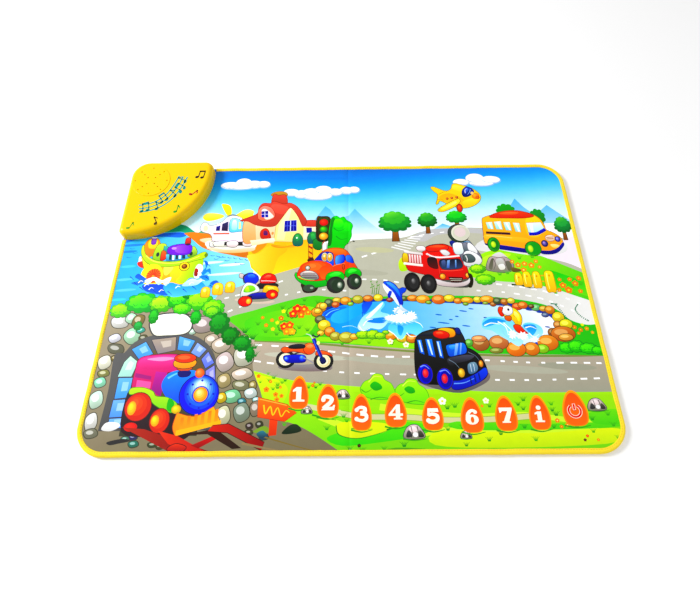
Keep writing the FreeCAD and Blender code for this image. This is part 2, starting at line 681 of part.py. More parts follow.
def spring_shape(y, facing):
    """A coiled contact between the bay's end wall and the flat end of a cell. Its wire is drawn eight-sided."""
    wall = size("bay_left") if facing > 0 else size("bay_left + bay_length")
    length, wire, coil, pitch, sides = 3.8, 0.4, 3.4, 1.25, 8
    helix = Part.makeHelix(pitch, length - 2 * wire - 0.3, coil)
    corners = [
        FreeCAD.Vector(coil + wire * math.cos(turn), 0, wire * math.sin(turn))
        for turn in (2 * math.pi * (i + 0.5) / sides for i in range(sides))
    ]
    profile = Part.makePolygon(corners + corners[:1])
    spring = Part.Wire(helix).makePipeShell([profile], True, True)
    spring = spring.rotated(FreeCAD.Vector(), FreeCAD.Vector(0, 1, 0), 90 * facing)
    return spring.translated(FreeCAD.Vector(wall + facing * (wire + 0.15), y, size("cell_axis")))


def plate_shape(y, facing):
    """A flat contact on the bay's end wall, against a cell's nub."""
    wall = size("bay_left + bay_length") if facing > 0 else size("bay_left")
    low = min(wall, wall - facing * 0.4)
    return Part.makeBox(0.4, 9, 9, FreeCAD.Vector(low, y - 4.5, size("cell_axis") - 4.5))


def lead_shape(points):
    """A thin insulated lead: straight runs joined by arcs as large as the runs allow."""
    points = [FreeCAD.Vector(*p) for p in points]
    edges, at = [], points[0]
    for before, corner, after in zip(points, points[1:], points[2:]):
        one, two = (before - corner), (after - corner)
        back = 0.45 * min(one.Length, two.Length)
        one.normalize()
        two.normalize()
        first, last = corner + one * back, corner + two * back
        bend = (one + two).normalize()
        half = math.acos(max(-1, min(1, one.dot(two)))) / 2
        middle = corner + bend * (back / math.cos(half) - back * math.tan(half))
        edges += [Part.makeLine(at, first), Part.Arc(first, middle, last).toShape()]
        at = last
    edges.append(Part.makeLine(at, points[-1]))
    path = Part.Wire(edges)
    heading = points[1] - points[0]
    ring = Part.Wire(Part.makeCircle(size("lead_radius"), points[0], heading))
    return path.makePipeShell([ring], True, False)


group("battery_cells", [cell_shape(y, facing) for y, facing in bay_places()])
group("battery_springs", [spring_shape(y, facing) for y, facing in bay_places()])
group("battery_plates", [plate_shape(y, facing) for y, facing in bay_places()])
group("speaker_leads", [
    lead_shape([(-308.4, 211.1, 16.8), (-302.5, 217, 16.8), (-293, 218, 16), (-284, 213, 15.5),
                (-284, 213, board_top)]),
    lead_shape([(-310.5, 212.8, 16.8), (-304.5, 218.8, 16.8), (-292.4, 220.6, 16), (-281, 213, 15.5),
                (-281, 213, board_top)]),
])
group("battery_leads", [
    lead_shape([(-295, 160, 14), (-290, 160, 14), (-286.5, 178, 15), (-284, 200, 15.5), (-284, 200, board_top)]),
    lead_shape([(-295, 156, 14), (-287, 156, 14), (-283.5, 178, 15), (-281, 200, 15.5), (-281, 200, board_top)]),
])


# ---------------------------------------------------------------- check and write
doc.recompute()
for thing in doc.Objects:
    if any(word in thing.State for word in ("Invalid", "Error")):
        raise RuntimeError(f"{thing.Label} has failed: {thing.State}")
os.makedirs("parts", exist_ok=True)
for label, thing in parts.items():
    shape = thing.Shape
    if shape.isNull() or not shape.isValid() or not shape.Solids or shape.Volume <= 0:
        raise RuntimeError(f"{label} has no valid solid")
    shape.exportStep(f"parts/{label}.step")
print(len(parts), "sub-parts written")
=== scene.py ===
# %% [markdown]
# # A musical touch mat
# This lesson dresses a children's touch mat: a padded, printed cloth mat with a yellow tape sewn round its
# edge and a yellow plastic sound box clamped on one corner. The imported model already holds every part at
# its real size, so the lesson loads it first and takes every place from it. Hard parts keep their own mesh
# and only get a finish. The cloth, the tape and the prints are made here, because rigid plates can't show
# sewing, padding or ink.

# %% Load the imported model
import math
import random

import bmesh
import bpy
from mathutils import Matrix, Vector, noise
from mathutils.geometry import delaunay_2d_cdt


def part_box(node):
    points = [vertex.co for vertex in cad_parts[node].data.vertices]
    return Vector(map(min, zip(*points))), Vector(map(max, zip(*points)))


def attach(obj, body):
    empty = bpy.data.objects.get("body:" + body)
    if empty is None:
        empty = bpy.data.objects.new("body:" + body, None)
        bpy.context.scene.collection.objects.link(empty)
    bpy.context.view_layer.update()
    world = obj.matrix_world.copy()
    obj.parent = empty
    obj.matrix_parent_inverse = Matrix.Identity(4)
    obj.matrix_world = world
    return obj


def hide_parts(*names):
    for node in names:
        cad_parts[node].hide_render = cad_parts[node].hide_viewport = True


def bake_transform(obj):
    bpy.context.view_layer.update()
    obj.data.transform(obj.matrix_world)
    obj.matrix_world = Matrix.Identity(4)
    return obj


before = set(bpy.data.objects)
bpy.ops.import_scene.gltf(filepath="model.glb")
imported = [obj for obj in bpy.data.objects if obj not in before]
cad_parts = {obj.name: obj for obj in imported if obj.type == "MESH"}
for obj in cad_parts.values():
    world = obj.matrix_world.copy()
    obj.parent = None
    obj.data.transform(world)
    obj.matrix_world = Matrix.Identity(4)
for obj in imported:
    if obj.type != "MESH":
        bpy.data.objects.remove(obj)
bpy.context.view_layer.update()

MM = 0.001

# %% [markdown]
# ## Camera, floor and light
# The camera stands above the front edge and looks steeply down, with a wide lens, so the front edge looks
# longer than the back one. It is turned about Z, tilted about X and rolled a little, in that order. A white
# floor and a white world give the flat, bright light of a catalogue. One lamp at the left keeps some shape
# in it, and stands where the glossy box does not mirror it into the camera.

# %% Set up the camera, the floor and the lights
CAMERA_PLACE = Vector((7.4, -326.5, 632.2)) * MM
CAMERA_TURN, CAMERA_TILT, CAMERA_ROLL = 1.174, 25.48, -1.656
scene = bpy.context.scene
scene.view_settings.view_transform = "Standard"
camera = bpy.data.objects.new("camera", bpy.data.cameras.new("camera"))
camera.data.sensor_width = 36
camera.data.lens = 24.3
turns = ((CAMERA_TURN, "Z"), (CAMERA_TILT, "X"), (CAMERA_ROLL, "Z"))
camera.matrix_world = Matrix.Translation(CAMERA_PLACE)
for angle, axis in turns:
    camera.matrix_world = camera.matrix_world @ Matrix.Rotation(math.radians(angle), 4, axis)
scene.collection.objects.link(camera)
scene.camera = camera


def add_lamp(name, place, size, power):
    """An area lamp at a place in metres, aimed at the middle of the mat."""
    lamp = bpy.data.objects.new(name, bpy.data.lights.new(name, "AREA"))
    lamp.data.size = size
    lamp.data.energy = power
    lamp.location = place
    lamp.rotation_euler = (-Vector(place)).to_track_quat("-Z", "Y").to_euler()
    scene.collection.objects.link(lamp)


add_lamp("key_lamp", (-1.6, 0.5, 1.2), 0.5, 40)
add_lamp("fill_lamp", (1.2, -0.9, 1.5), 1.6, 7)
world = bpy.data.worlds.new("white_room")
world.use_nodes = True
world.node_tree.nodes["Background"].inputs["Color"].default_value = (1, 1, 1, 1)
world.node_tree.nodes["Background"].inputs["Strength"].default_value = 0.68
scene.world = world
print("camera", round(CAMERA_PLACE.length, 3), "m from the middle of the mat")

# %% [markdown]
# ## Inks and finishes
# Colours are written as they look on a screen, as three or six hex digits, and turned to the linear values
# that a shader works in. `finish` builds a material around one Principled shader: numbers that are the same
# all over go on its own sockets, and only what changes over the surface is linked in.

# %% Helpers for colours and materials
def levels(ink):
    """A hex colour's red, green and blue, from 0 to 255. Three digits are short for six, each one twice."""
    wide = len(ink) // 3
    return [int(ink[i * wide:(i + 1) * wide] * (3 - wide), 16) for i in range(3)]


def linear(ink):
    """A hex colour as linear red, green and blue."""
    parts = [level / 255 for level in levels(ink)]
    return [c / 12.92 if c <= 0.04045 else ((c + 0.055) / 1.055) ** 2.4 for c in parts]


def finish(name, ink, roughness, **sockets):
    """A material with one Principled shader; returns it with its tree and its shader."""
    material = bpy.data.materials.new(name)
    material.use_nodes = True
    tree = material.node_tree
    shader = tree.nodes["Principled BSDF"]
    shader.inputs["Base Color"].default_value = (*linear(ink), 1)
    shader.inputs["Roughness"].default_value = roughness
    for socket, value in sockets.items():
        shader.inputs[socket.replace("_", " ")].default_value = value
    return material, tree, shader


def effect_group(name, inputs, outputs):
    """An empty shader node group with float or colour sockets; a default that is a string makes a colour."""
    group = bpy.data.node_groups.new(name, "ShaderNodeTree")
    for socket, default in inputs.items():
        kind = "NodeSocketColor" if isinstance(default, str) else "NodeSocketFloat"
        made = group.interface.new_socket(socket, in_out="INPUT", socket_type=kind)
        made.default_value = (*linear(default), 1) if isinstance(default, str) else default
    for socket, kind in outputs.items():
        group.interface.new_socket(socket, in_out="OUTPUT", socket_type=kind)
    return group, group.nodes.new("NodeGroupInput"), group.nodes.new("NodeGroupOutput")


def place_group(tree, group, **values):
    """Puts an effect group in a material's tree with its own values."""
    node = tree.nodes.new("ShaderNodeGroup")
    node.node_tree = group
    for socket, value in values.items():
        node.inputs[socket].default_value = (*linear(value), 1) if isinstance(value, str) else value
    return node


def add_piece(name, shape, material):
    """Makes an object of a finished bmesh, with its material."""
    mesh = bpy.data.meshes.new(name)
    shape.to_mesh(mesh)
    piece = bpy.data.objects.new(name, mesh)
    piece.data.materials.append(material)
    scene.collection.objects.link(piece)
    return piece


def points_of(made):
    """The points among what an operator made."""
    return [item for item in made["geom"] if isinstance(item, bmesh.types.BMVert)]


def add_node(tree, kind, **settings):
    """A node whose settings are given by name; a name that is a socket sets that socket."""
    node = tree.nodes.new(kind)
    for key, value in settings.items():
        if key in node.inputs:
            node.inputs[key].default_value = value
        else:
            setattr(node, key, value)
    return node


# %% [markdown]
# Two effects are shared. `mottle` shifts a colour lighter and darker in soft patches, as moulded plastic,
# cloth and plating all do a little. `grain` turns noise, and where it is asked for a woven grid, into a
# bump normal.

# %% Effect groups: mottle and grain
def make_mottle():
    group, start, end = effect_group(
        "mottle", {"Base": "808080", "Scale": 20.0, "Amount": 0.1}, {"Result": "NodeSocketColor"})
    place = group.nodes.new("ShaderNodeTexCoord")
    patches = add_node(group, "ShaderNodeTexNoise", Detail=4.0, Roughness=0.6)
    half = add_node(group, "ShaderNodeMath", operation="MULTIPLY_ADD")
    half.inputs[1].default_value, half.inputs[2].default_value = -0.5, 1.0
    swing = add_node(group, "ShaderNodeMath", operation="MULTIPLY_ADD")
    shade = add_node(group, "ShaderNodeVectorMath", operation="SCALE")
    link = group.links.new
    link(place.outputs["Object"], patches.inputs["Vector"])
    link(start.outputs["Scale"], patches.inputs["Scale"])
    link(start.outputs["Amount"], half.inputs[0])
    link(patches.outputs["Fac"], swing.inputs[0])
    link(start.outputs["Amount"], swing.inputs[1])
    link(half.outputs[0], swing.inputs[2])
    link(start.outputs["Base"], shade.inputs[0])
    link(swing.outputs[0], shade.inputs["Scale"])
    link(shade.outputs["Vector"], end.inputs["Result"])
    return group


def make_grain():
    group, start, end = effect_group(
        "grain", {"Scale": 900.0, "Depth": 0.0001, "Weave": 0.0, "Threads": 800.0},
        {"Normal": "NodeSocketVector"})
    place = group.nodes.new("ShaderNodeTexCoord")
    specks = add_node(group, "ShaderNodeTexNoise", Detail=3.0)
    across = add_node(group, "ShaderNodeTexWave", bands_direction="X")
    along = add_node(group, "ShaderNodeTexWave", bands_direction="Y")
    cross = add_node(group, "ShaderNodeMath", operation="MULTIPLY")
    blend = add_node(group, "ShaderNodeMix")
    bump = add_node(group, "ShaderNodeBump", Strength=1.0)
    link = group.links.new
    for texture, scale in ((specks, "Scale"), (across, "Threads"), (along, "Threads")):
        link(place.outputs["Object"], texture.inputs["Vector"])
        link(start.outputs[scale], texture.inputs["Scale"])
    link(across.outputs["Fac"], cross.inputs[0])
    link(along.outputs["Fac"], cross.inputs[1])
    link(start.outputs["Weave"], blend.inputs["Factor"])
    link(specks.outputs["Fac"], blend.inputs["A"])
    link(cross.outputs[0], blend.inputs["B"])
    link(blend.outputs["Result"], bump.inputs["Height"])
    link(start.outputs["Depth"], bump.inputs["Distance"])
    link(bump.outputs["Normal"], end.inputs["Normal"])
    return group


mottle, grain = make_mottle(), make_grain()


def dress(name, ink, roughness, patches=(20.0, 0.08), specks=(900.0, 0.00003), weave=(0.0, 800.0), **sockets):
    """A finish with mottled colour and a grained or woven surface."""
    material, tree, shader = finish(name, ink, roughness, **sockets)
    colour = place_group(tree, mottle, Base=ink, Scale=patches[0], Amount=patches[1])
    surface = place_group(tree, grain, Scale=specks[0], Depth=specks[1], Weave=weave[0], Threads=weave[1])
    tree.links.new(colour.outputs["Result"], shader.inputs["Base Color"])
    tree.links.new(surface.outputs["Normal"], shader.inputs["Normal"])
    return material


shape = bmesh.new()
bmesh.ops.create_grid(shape, x_segments=1, y_segments=1, size=6)
bmesh.ops.translate(shape, verts=shape.verts, vec=(0, 0, -0.0002))
add_piece("floor", shape, dress("white_floor", "f6f6f6", 0.7, patches=(3.0, 0.01)))
print("effects:", mottle.name, grain.name)

# %% [markdown]
# ## Finishes for the hard parts
# The box is injection-moulded and glossy, so its yellow is smooth and has only a trace of mottling.
# Inside it are plated steel, a green board, black resin, coated card and wrapped cells. Each CAD part keeps
# its mesh: the finish is put in its material slot.

# %% Dress every hard part
yellow_plastic = dress("yellow_plastic", "e8be00", 0.24, patches=(14.0, 0.05), specks=(500.0, 0.000015),
                       Specular_IOR_Level=0.14)
steel = dress("plated_steel", "b9bcc0", 0.35, patches=(120.0, 0.2), specks=(1500.0, 0.00002), Metallic=1.0)
black_plastic = dress("black_plastic", "1a1a1c", 0.45, specks=(1500.0, 0.00002))
white_plastic = dress("white_plastic", "e9e7e0", 0.45)
board_green = dress("board_green", "0f5a2c", 0.35, patches=(300.0, 0.3), Coat_Weight=0.3)
cone_card = dress("cone_card", "202024", 0.75, specks=(2500.0, 0.00006))
cell_wrap = dress("cell_wrap", "2c2f36", 0.35, patches=(60.0, 0.15))
lead_sleeve = dress("lead_sleeve", "c3201c", 0.5)
contact_film = dress("contact_film", "d9dfe0", 0.25, patches=(200.0, 0.1), Coat_Weight=0.4)
wadding_white = dress("wadding_white", "f2f1ea", 0.95, specks=(700.0, 0.0003))
foam_white = dress("foam_white", "ecebe6", 0.9, specks=(1800.0, 0.0002))

FINISHES = {
    yellow_plastic: ["box_top_shell", "box_bottom_shell", "battery_door"],
    steel: ["speaker_frame", "speaker_magnet", "speaker_screws", "battery_springs", "battery_plates",
            "case_screws", "board_screws", "battery_door_screw"],
    black_plastic: ["power_switch_body", "power_switch_knob", "sound_chip", "board_parts"],
    white_plastic: ["tail_clamp_bar", "speaker_retainer"],
    board_green: ["circuit_board"], cone_card: ["speaker_cone", "speaker_dust_cap"],
    cell_wrap: ["battery_cells"], lead_sleeve: ["speaker_leads", "battery_leads"],
    contact_film: ["film_tail", "upper_film_left", "upper_film_right", "lower_film_left", "lower_film_right"],
    wadding_white: ["wadding_left", "wadding_right"],
    foam_white: ["base_foam_left", "base_foam_right", "spacer_sheet_left", "spacer_sheet_right"],
}
for material, names in FINISHES.items():
    for name in names:
        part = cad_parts[name]
        part.data.materials.clear()
        part.data.materials.append(material)
print("dressed", sum(len(names) for names in FINISHES.values()), "hard parts")

# %% [markdown]
# ## Sizes of the mat
# The mat's outline, the fold and the box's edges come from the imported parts. Everything from here to the
# end of the print is worked out in millimetres, with the origin in the middle of the mat, X to the right
# and Y to the back.

# %% Read the mat's sizes from the model
tape_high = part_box("edge_binding_right")[1] / MM
box_low, box_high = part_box("box_top_shell")[0] / MM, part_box("box_top_shell")[1] / MM
cover_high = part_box("printed_cover_right")[1] / MM
HALF_LONG, HALF_WIDE = tape_high.x, tape_high.y
CORNER = 40                                    # the outline's corner radius
HEM = HALF_LONG - cover_high.x                 # how far inside the tape the sheets end
COVER_TOP = cover_high.z
ARC = 124                                      # the round front corner of the sound box
ARC_MIDDLE = Vector((box_high.x - ARC, box_low.y + ARC))
keys = {}
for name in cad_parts:
    if name.startswith(("key_", "pad_")):
        low, high = (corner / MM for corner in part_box(name))
        keys[name] = ((low.x + high.x) / 2, (low.y + high.y) / 2, (high.x - low.x) / 2)
print(f"mat {2 * HALF_LONG:.0f} x {2 * HALF_WIDE:.0f} mm, cover at {COVER_TOP:.1f} mm,",
      len(keys), "touch keys")

# %% [markdown]
# ## How the print is made
# The real cover is a picture printed in flat, bright inks. Here each printed shape is an outline in
# millimetres with one ink or two inks that run into each other, and later shapes lie over earlier ones. All
# outlines go into one planar triangulation, so the cloth stays a single sheet and every edge of ink is an
# edge in its mesh. That keeps the print sharp at any distance, needs no image, and moves with the cloth.
# Operators can't do this: they make forms, not pictures.

# %% The drawing tools
prints = []                                    # (outline, first ink, last ink, direction of the run)


def lay(outline, ink, ink2=None, along=(0, -1)):
    """Prints a shape in one ink, or from one ink to another in a direction (from the back, if not given)."""
    if sum(a[0] * b[1] - b[0] * a[1] for a, b in zip(outline, outline[1:] + outline[:1])) < 0:
        outline = outline[::-1]                # the triangulation wants every outline to run anticlockwise
    prints.append((outline, ink, ink2 or ink, along))


def smooth(points, closed=True, steps=4):
    """A curve through a few points. A point named twice running is a corner."""
    count = len(points)
    curve = []
    for i in range(count if closed else count - 1):
        ends = (i - 1, i, i + 1, i + 2)
        a, b, c, d = (Vector(points[j % count if closed else min(max(j, 0), count - 1)]) for j in ends)
        if b == c:
            continue
        for step in range(steps):
            s = step / steps
            curve.append(b + 0.5 * ((c - a) * s + (2 * a - 5 * b + 4 * c - d) * s ** 2
                                    + (3 * b - a - 3 * c + d) * s ** 3))
    if not closed:
        curve.append(Vector(points[-1]))
    return curve


def polar(angle, reach):
    """The way from a middle to a place at an angle in degrees and at a reach."""
    return Vector((math.cos(math.radians(angle)), math.sin(math.radians(angle)))) * reach


def oval(x, y, across, up=None, turn=0, first=0, last=360):
    """An oval, or a part of one between two angles, turned about its middle."""
    up = up or across
    count = max(7, round(math.sqrt(max(across, up)) * 5.5 * (last - first) / 360))
    whole = last - first >= 360
    cos, sin = math.cos(math.radians(turn)), math.sin(math.radians(turn))
    points = []
    for i in range(count if whole else count + 1):
        angle = math.radians(first + (last - first) * i / count)
        u, v = across * math.cos(angle), up * math.sin(angle)
        points.append(Vector((x + u * cos - v * sin, y + u * sin + v * cos)))
    return points


def grown(outline, by):
    """The outline moved outwards by a distance, for the dark line round a printed figure."""
    area = sum(a.x * b.y - b.x * a.y for a, b in zip(outline, outline[1:] + outline[:1]))
    side = 1 if area > 0 else -1
    moved = []
    for before, point, after in zip(outline[-1:] + outline[:-1], outline, outline[1:] + outline[:1]):
        run = (after - before)
        if run.length > 1e-6:
            run.normalize()
        moved.append(point + Vector((run.y, -run.x)) * by * side)
    return moved


def figure(outline, ink, ink2=None, along=(0, -1), line="2a1d16", width=0.9):
    """A shape with a dark line round it."""
    outline = [Vector(p) for p in outline]
    lay(grown(outline, width), line)
    lay(outline, ink, ink2, along)


def stroke(points, width, ink, tip=None, ink2=None):
    """A drawn line along a smooth path, from one width to another."""
    path = smooth(points, closed=False)
    tip = width if tip is None else tip
    left, right = [], []
    for i, point in enumerate(path):
        run = path[min(i + 1, len(path) - 1)] - path[max(i - 1, 0)]
        run.normalize()
        half = (width + (tip - width) * i / (len(path) - 1)) / 2
        left.append(point + Vector((-run.y, run.x)) * half)
        right.append(point - Vector((-run.y, run.x)) * half)
    lay(left + right[::-1], ink, ink2)


def vivid(ink):
    """The ink as it prints: its weaker parts fall back, which makes it purer."""
    parts = levels(ink)
    return "".join(f"{max(0, round(max(parts) - (max(parts) - part) * 1.18)):02x}" for part in parts)


def listed(text):
    """The items of a list kept as text, with commas inside an item and # before an ink."""
    return [[word[1:] if word[0] == "#" else float(word) for word in item.split(",")] for item in text.split()]


def blend_ink(ink, other, share):
    """A hex colour part of the way from one to another."""
    return "".join(f"{round(a * (1 - share) + b * share):02x}" for a, b in zip(levels(ink), levels(other)))


def ball(x, y, across, up, dark, light, rings=4, shift=(-0.25, 0.3), turn=0):
    """A rounded form: ovals inside each other that go from a dark ink to a light one, towards the light."""
    for ring in range(rings):
        share = ring / (rings - 1)
        size = 1 - 0.75 * share
        lay(oval(x + shift[0] * across * share, y + shift[1] * up * share, across * size, up * size, turn),
            blend_ink(dark, light, share))


def draw(rows, at=(0, 0), size=1.0):
    """Prints one shape for each row: its kind, its inks, then numbers; all of it can be moved and sized.

    c is a curve, p has straight sides, o is an oval (middle, reaches, turn), s is a stroke (its one or two
    widths first) and b is a ball. A capital letter adds a dark line round the shape. Inks are
    first>last@direction/line, and all but the first can be left out. A place that ends with ! is a corner of a
    curve. A line that starts with a space goes on with the row above it.
    """
    for row in rows.strip().replace("\n ", " ").splitlines():
        kind, inks, *numbers = row.split()
        inks, _, line = inks.partition("/")
        inks, _, along = inks.partition("@")
        ink, _, ink2 = inks.partition(">")
        along = tuple(float(n) for n in along.split(",")) if along else (0, -1)
        pairs = [[float(n) * size for n in text.rstrip("!").split(",")] for text in numbers]
        places = [Vector(pair) + Vector(at) for pair in pairs if len(pair) == 2]
        if kind == "s":
            stroke(places[len(pairs[0]) - 1:], pairs[0][0], ink, pairs[0][-1], ink2)
        elif kind in "obOB":
            turn = pairs[2][0] / size if len(pairs) > 2 else 0
            if kind == "B":
                lay(oval(*places[0], pairs[1][0] + 1, pairs[1][1] + 1, turn), line or "2a1d16")
            if kind in "bB":
                ball(*places[0], *pairs[1], ink, ink2 or ink, turn=turn)
            elif kind == "O":
                figure(oval(*places[0], *pairs[1], turn), ink, ink2, along, line or "2a1d16")
            else:
                lay(oval(*places[0], *pairs[1], turn), ink, ink2, along)
        else:
            if kind in "cC":
                corners = [[place] * (2 if text[-1] == "!" else 1) for text, place in zip(numbers, places)]
                places = smooth(sum(corners, []))
            if kind in "CP":
                figure(places, ink, ink2, along, line or "2a1d16")
            else:
                lay(places, ink, ink2, along)

# %% [markdown]
# ## Sky, sea and ground
# The picture is built as a painter builds it, from the back forwards: sky, hills, sea and sand, then one
# grey shape for all the road, and green islands laid over it. Inks that run into each other do most of the
# work.

# %% Lay the sky, the hills and the sea
def band(low, high, ink, ink2, rises=(8, 32)):
    """A band of sky across the mat, bent upwards from the middle, so that the sky is paler at its two ends."""
    for side, rise in zip((-HALF_LONG, HALF_LONG), rises):
        corners = ((0, low), (side, low + rise), (side, high + rise), (0, high))
        lay([Vector(p) for p in corners], ink, ink2, (rise / side, -1))


draw("p fff -360,-240 360,-240 360,240 -360,240")
band(210, 250, "0a5fb0", "0a8eea")
band(165, 210, "0a8eea", "62cef8")
band(125, 165, "62cef8", "c6f0fb")
band(80, 125, "c6f0fb", "ffffff")
draw("""
p 5be>def -75,100 -55,128 -38,155 -30,148 -18,128 0,136 10,149 24,132 44,112 60,100
p 5be>def 130,104 150,118 165,112 180,104
p 5be>def 225,110 245,128 262,150 272,166 284,148 300,132 322,152 338,136 358,118 358,90
c 186>2a7 -300,98 -290,112 -276,122 -262,120 -246,108 -232,98 -250,92
c 197>3b8 -252,96 -240,106 -226,113 -210,108 -196,98 -220,92
""")
CLOUDS = """
-197,200,17,7 -176,205,13,9.6 -158,202,13,7.6 -143,202,11,6.6 -182,197,22,5
-95,184,13,7 -78,180,12,8 -62,183,14,8.6 -42,188,14,8.6 -22,184,12,7 -4,187,11,7 9,188,9,6 -52,176,24,7.6
188,201,13,6.6 212,209,15,10 238,206,16,7.4 222,199,20,6
"""
for cloud in CLOUDS.strip().splitlines():
    puffs = listed(cloud)
    for x, y, across, up in puffs:
        lay(oval(x + 1, y - 1.6, across + 0.8, up + 0.8), "8be")
    for x, y, across, up in puffs:
        figure(oval(x, y, across, up), "fff", "eef", (0.2, -1), "bcd", 0.5)
        lay(oval(x, y + 0.8, across - 1.6, up - 1.4), "fff")
    for x, y, across, up in puffs:
        stroke(oval(x, y, across - 1.5, up - 1.2, 0, 200, 320)[::3], 1.2, "9be", 0.5)
draw("""
c 2aaeee>a4e6f8@1,0.1 -360,104! -330,108 -300,107 -268,108 -256,101 -244,90 -230,78 -208,71 -180,66 -158,58
 -147,48 -146,30 -152,12 -170,-4 -210,-14 -260,-20 -360,-40!
c 16d>28e -360,100! -330,107 -300,106 -268,107 -258,102 -268,97 -300,99 -330,96 -346,90 -360,88!
""")
for x, y, long, ink in listed("""
-338,84,20,#28d -345,72,14,#28d -340,45,12,#5cf -342,22,14,#6cf -336,4,16,#6cf -215,50,22,#dff
-190,30,26,#def -180,46,20,#eff -344,-12,12,#4ce
"""):
    lay(oval(x, y, long, 2.2, 4), ink)
for i in range(7):
    x = -212 + i * 9
    stroke([(x - 3, 63.5 - i * 1.3), (x, 62.3 - i * 1.5), (x + 3.5, 62.8 - i * 1.6)], 1.1, "26c", 0.5)
for x, y in listed("-222,66 -205,57 -188,54 -172,50 -164,47 -198,60 -340,78 -334,70 -342,62"):
    stroke([(x - 4, y), (x, y - 1.2), (x + 4, y + 0.4)], 1.2, "27c", 0.4)
print(len(prints), "shapes so far")

# %% Lay the sand, the roads and the grass
draw("""
c d82>c72 -262,105 -246,107 -225,104 -190,104 -150,100 -148,60 -160,58 -182,63 -210,70 -230,78 -244,90
 -256,100
c edb>db8 -236,92 -215,96 -170,94 -150,90 -160,78 -190,78 -215,82
p fb1>fd1 -160,100 -40,100 -40,20 -130,20 -150,40 -156,60
c fd5>fb1@1,0 -158,62 -140,66 -128,78 -104,86 -96,72 -110,56 -118,30 -140,34 -150,46
c e92 -150,66 -135,74 -128,88 -140,95 -156,92
c bba>aa9@-0.4,-1 -210,-52! -196,-6 -165,8 -125,24 -62,46 -46,62 -10,84 30,90 84,92 120,104 170,109 225,108
 360,100! 360,-70! 300,-30 0,-14 -100,-22 -140,-36
c bba>eee@1,-0.1 170,-30! 170,30! 262,20 360,-6! 360,-72! 300,-56! 262,-40!
c fff 225,112! 250,104 300,94 360,84! 360,118!
c bbb 100,92 126,106 170,109 215,106 215,98 180,100 140,96 118,84
c ddd>fef@1,-0.6 196,70 230,62 280,56 330,44 360,28! 360,100! 345,88 300,80 220,88
""")


def mark_lane(points, width, dash=9.0, gap=6.0):
    """A broken white line along a path."""
    path = smooth(points, closed=False, steps=12)
    travelled, started, piece = 0.0, 0.0, []
    for a, b in zip(path, path[1:]):
        if travelled - started < dash:
            piece.append(a)
        elif len(piece) > 1:
            stroke([piece[0], piece[len(piece) // 2], piece[-1]], width, "fff")
            piece = []
        travelled += (b - a).length
        if travelled - started > dash + gap:
            started, piece = travelled, []


mark_lane([(-178, -34), (-150, -22), (-100, -8), (-45, 1), (10, -3)], 2.2)
mark_lane([(-185, -12), (-150, -2), (-118, 10), (-86, 22)], 2.0)
mark_lane([(20, 57), (45, 66), (75, 74)], 2.4)
mark_lane([(96, 92), (125, 98), (165, 103), (205, 104)], 1.6)
mark_lane([(20, 18), (55, 16), (90, 8)], 2.2)
mark_lane([(205, 9), (250, 3), (300, -9), (352, -34)], 2.4)
mark_lane([(190, -3), (240, -8), (290, -20), (340, -46)], 2.2)
for i in range(7):
    far, near = Vector((66 + i * 5.2, 74 + i * 3.2)), Vector((92 + i * 4.0, 66 + i * 4.4))
    lay([far, near, near + Vector((1, 1.6)), far + Vector((1, 1.8))], "eee")
draw("p ba9>998 -140,-160 360,-160 360,-70 -140,-70")
for x, y, long, ink in listed("""
-60,-104,60,#bba 60,-112,70,#aa9 240,-126,60,#aa9 300,-122,40,#998 20,30,40,#aa9 40,70,30,#bb9
-140,-16,30,#cba
"""):
    lay(oval(x, y, long, 5, -4), ink)
mark_lane([(-133, -86), (-80, -90), (-20, -98), (40, -105), (100, -106)], 2.4, 12, 7)
mark_lane([(188, -112), (250, -116), (310, -117), (356, -118)], 2.4, 10, 7)
mark_lane([(-133, -110), (-80, -118), (-20, -127), (60, -131), (100, -132)], 2.2, 10, 8)
mark_lane([(180, -140), (250, -141), (310, -140), (356, -139)], 2.4, 10, 7)
draw("""
s 784 3 -135,-80 -60,-84 20,-92 100,-99 200,-105 300,-107 356,-106
c 6c2>3b2@1,-0.3 -176,-44 -140,-32 -95,-18 -55,-9 -30,-11 0,-13 60,-11 130,-11 200,-13 262,-21 300,-34
 318,-52 340,-60 360,-58! 360,-107! 290,-105 180,-102 90,-95 -10,-86 -100,-81 -138,-78 -165,-60
c 5c2>9d2@1,0 -150,-48 -110,-34 -60,-26 -45,-40 -60,-70 -100,-74 -140,-70
c 9d2 -100,-78 -60,-74 0,-78 60,-80 110,-90 80,-94 -10,-84 -60,-81
c be2>7c2 -138,-126 -100,-134 -60,-141 0,-147 60,-151 130,-153 225,-158 360,-158! 360,-238! -6,-238!
 -42,-214 -72,-198 -100,-190 -118,-165
c de1>ad2 -136,-130 -100,-137 -84,-150 -90,-170 -104,-176 -122,-152
c ad2>9d2 -60,-150 40,-158 160,-160 360,-162! 360,-176 200,-172 60,-174 -40,-172
""")
for points in ([(40, -176), (90, -184), (160, -190), (230, -188), (300, -196), (356, -190)],
               [(-40, -188), (10, -206), (80, -212), (140, -206), (210, -212), (300, -208), (356, -214)]):
    stroke(points, 9, "ce4", 6)
draw("""
c ae2>5c2@0.6,-1 180,26 190,46 212,64 250,68 290,58 325,40 360,22! 360,-24! 335,-14 300,0 262,8 225,12 196,16
c ce4>9d3 196,40 214,58 250,60 236,44 262,34 240,24 210,26
c 2c2>7d2 300,30 330,20 356,4 356,-14 330,-6 300,8
c 998f7a>706850@0.2,-1 -360,-36! -300,-26 -240,-26 -190,-40 -160,-60 -138,-84 -134,-120 -122,-150 -116,-166
 -100,-190 -72,-198 -42,-214 -6,-238! -360,-238!
""")
print(len(prints), "shapes so far")

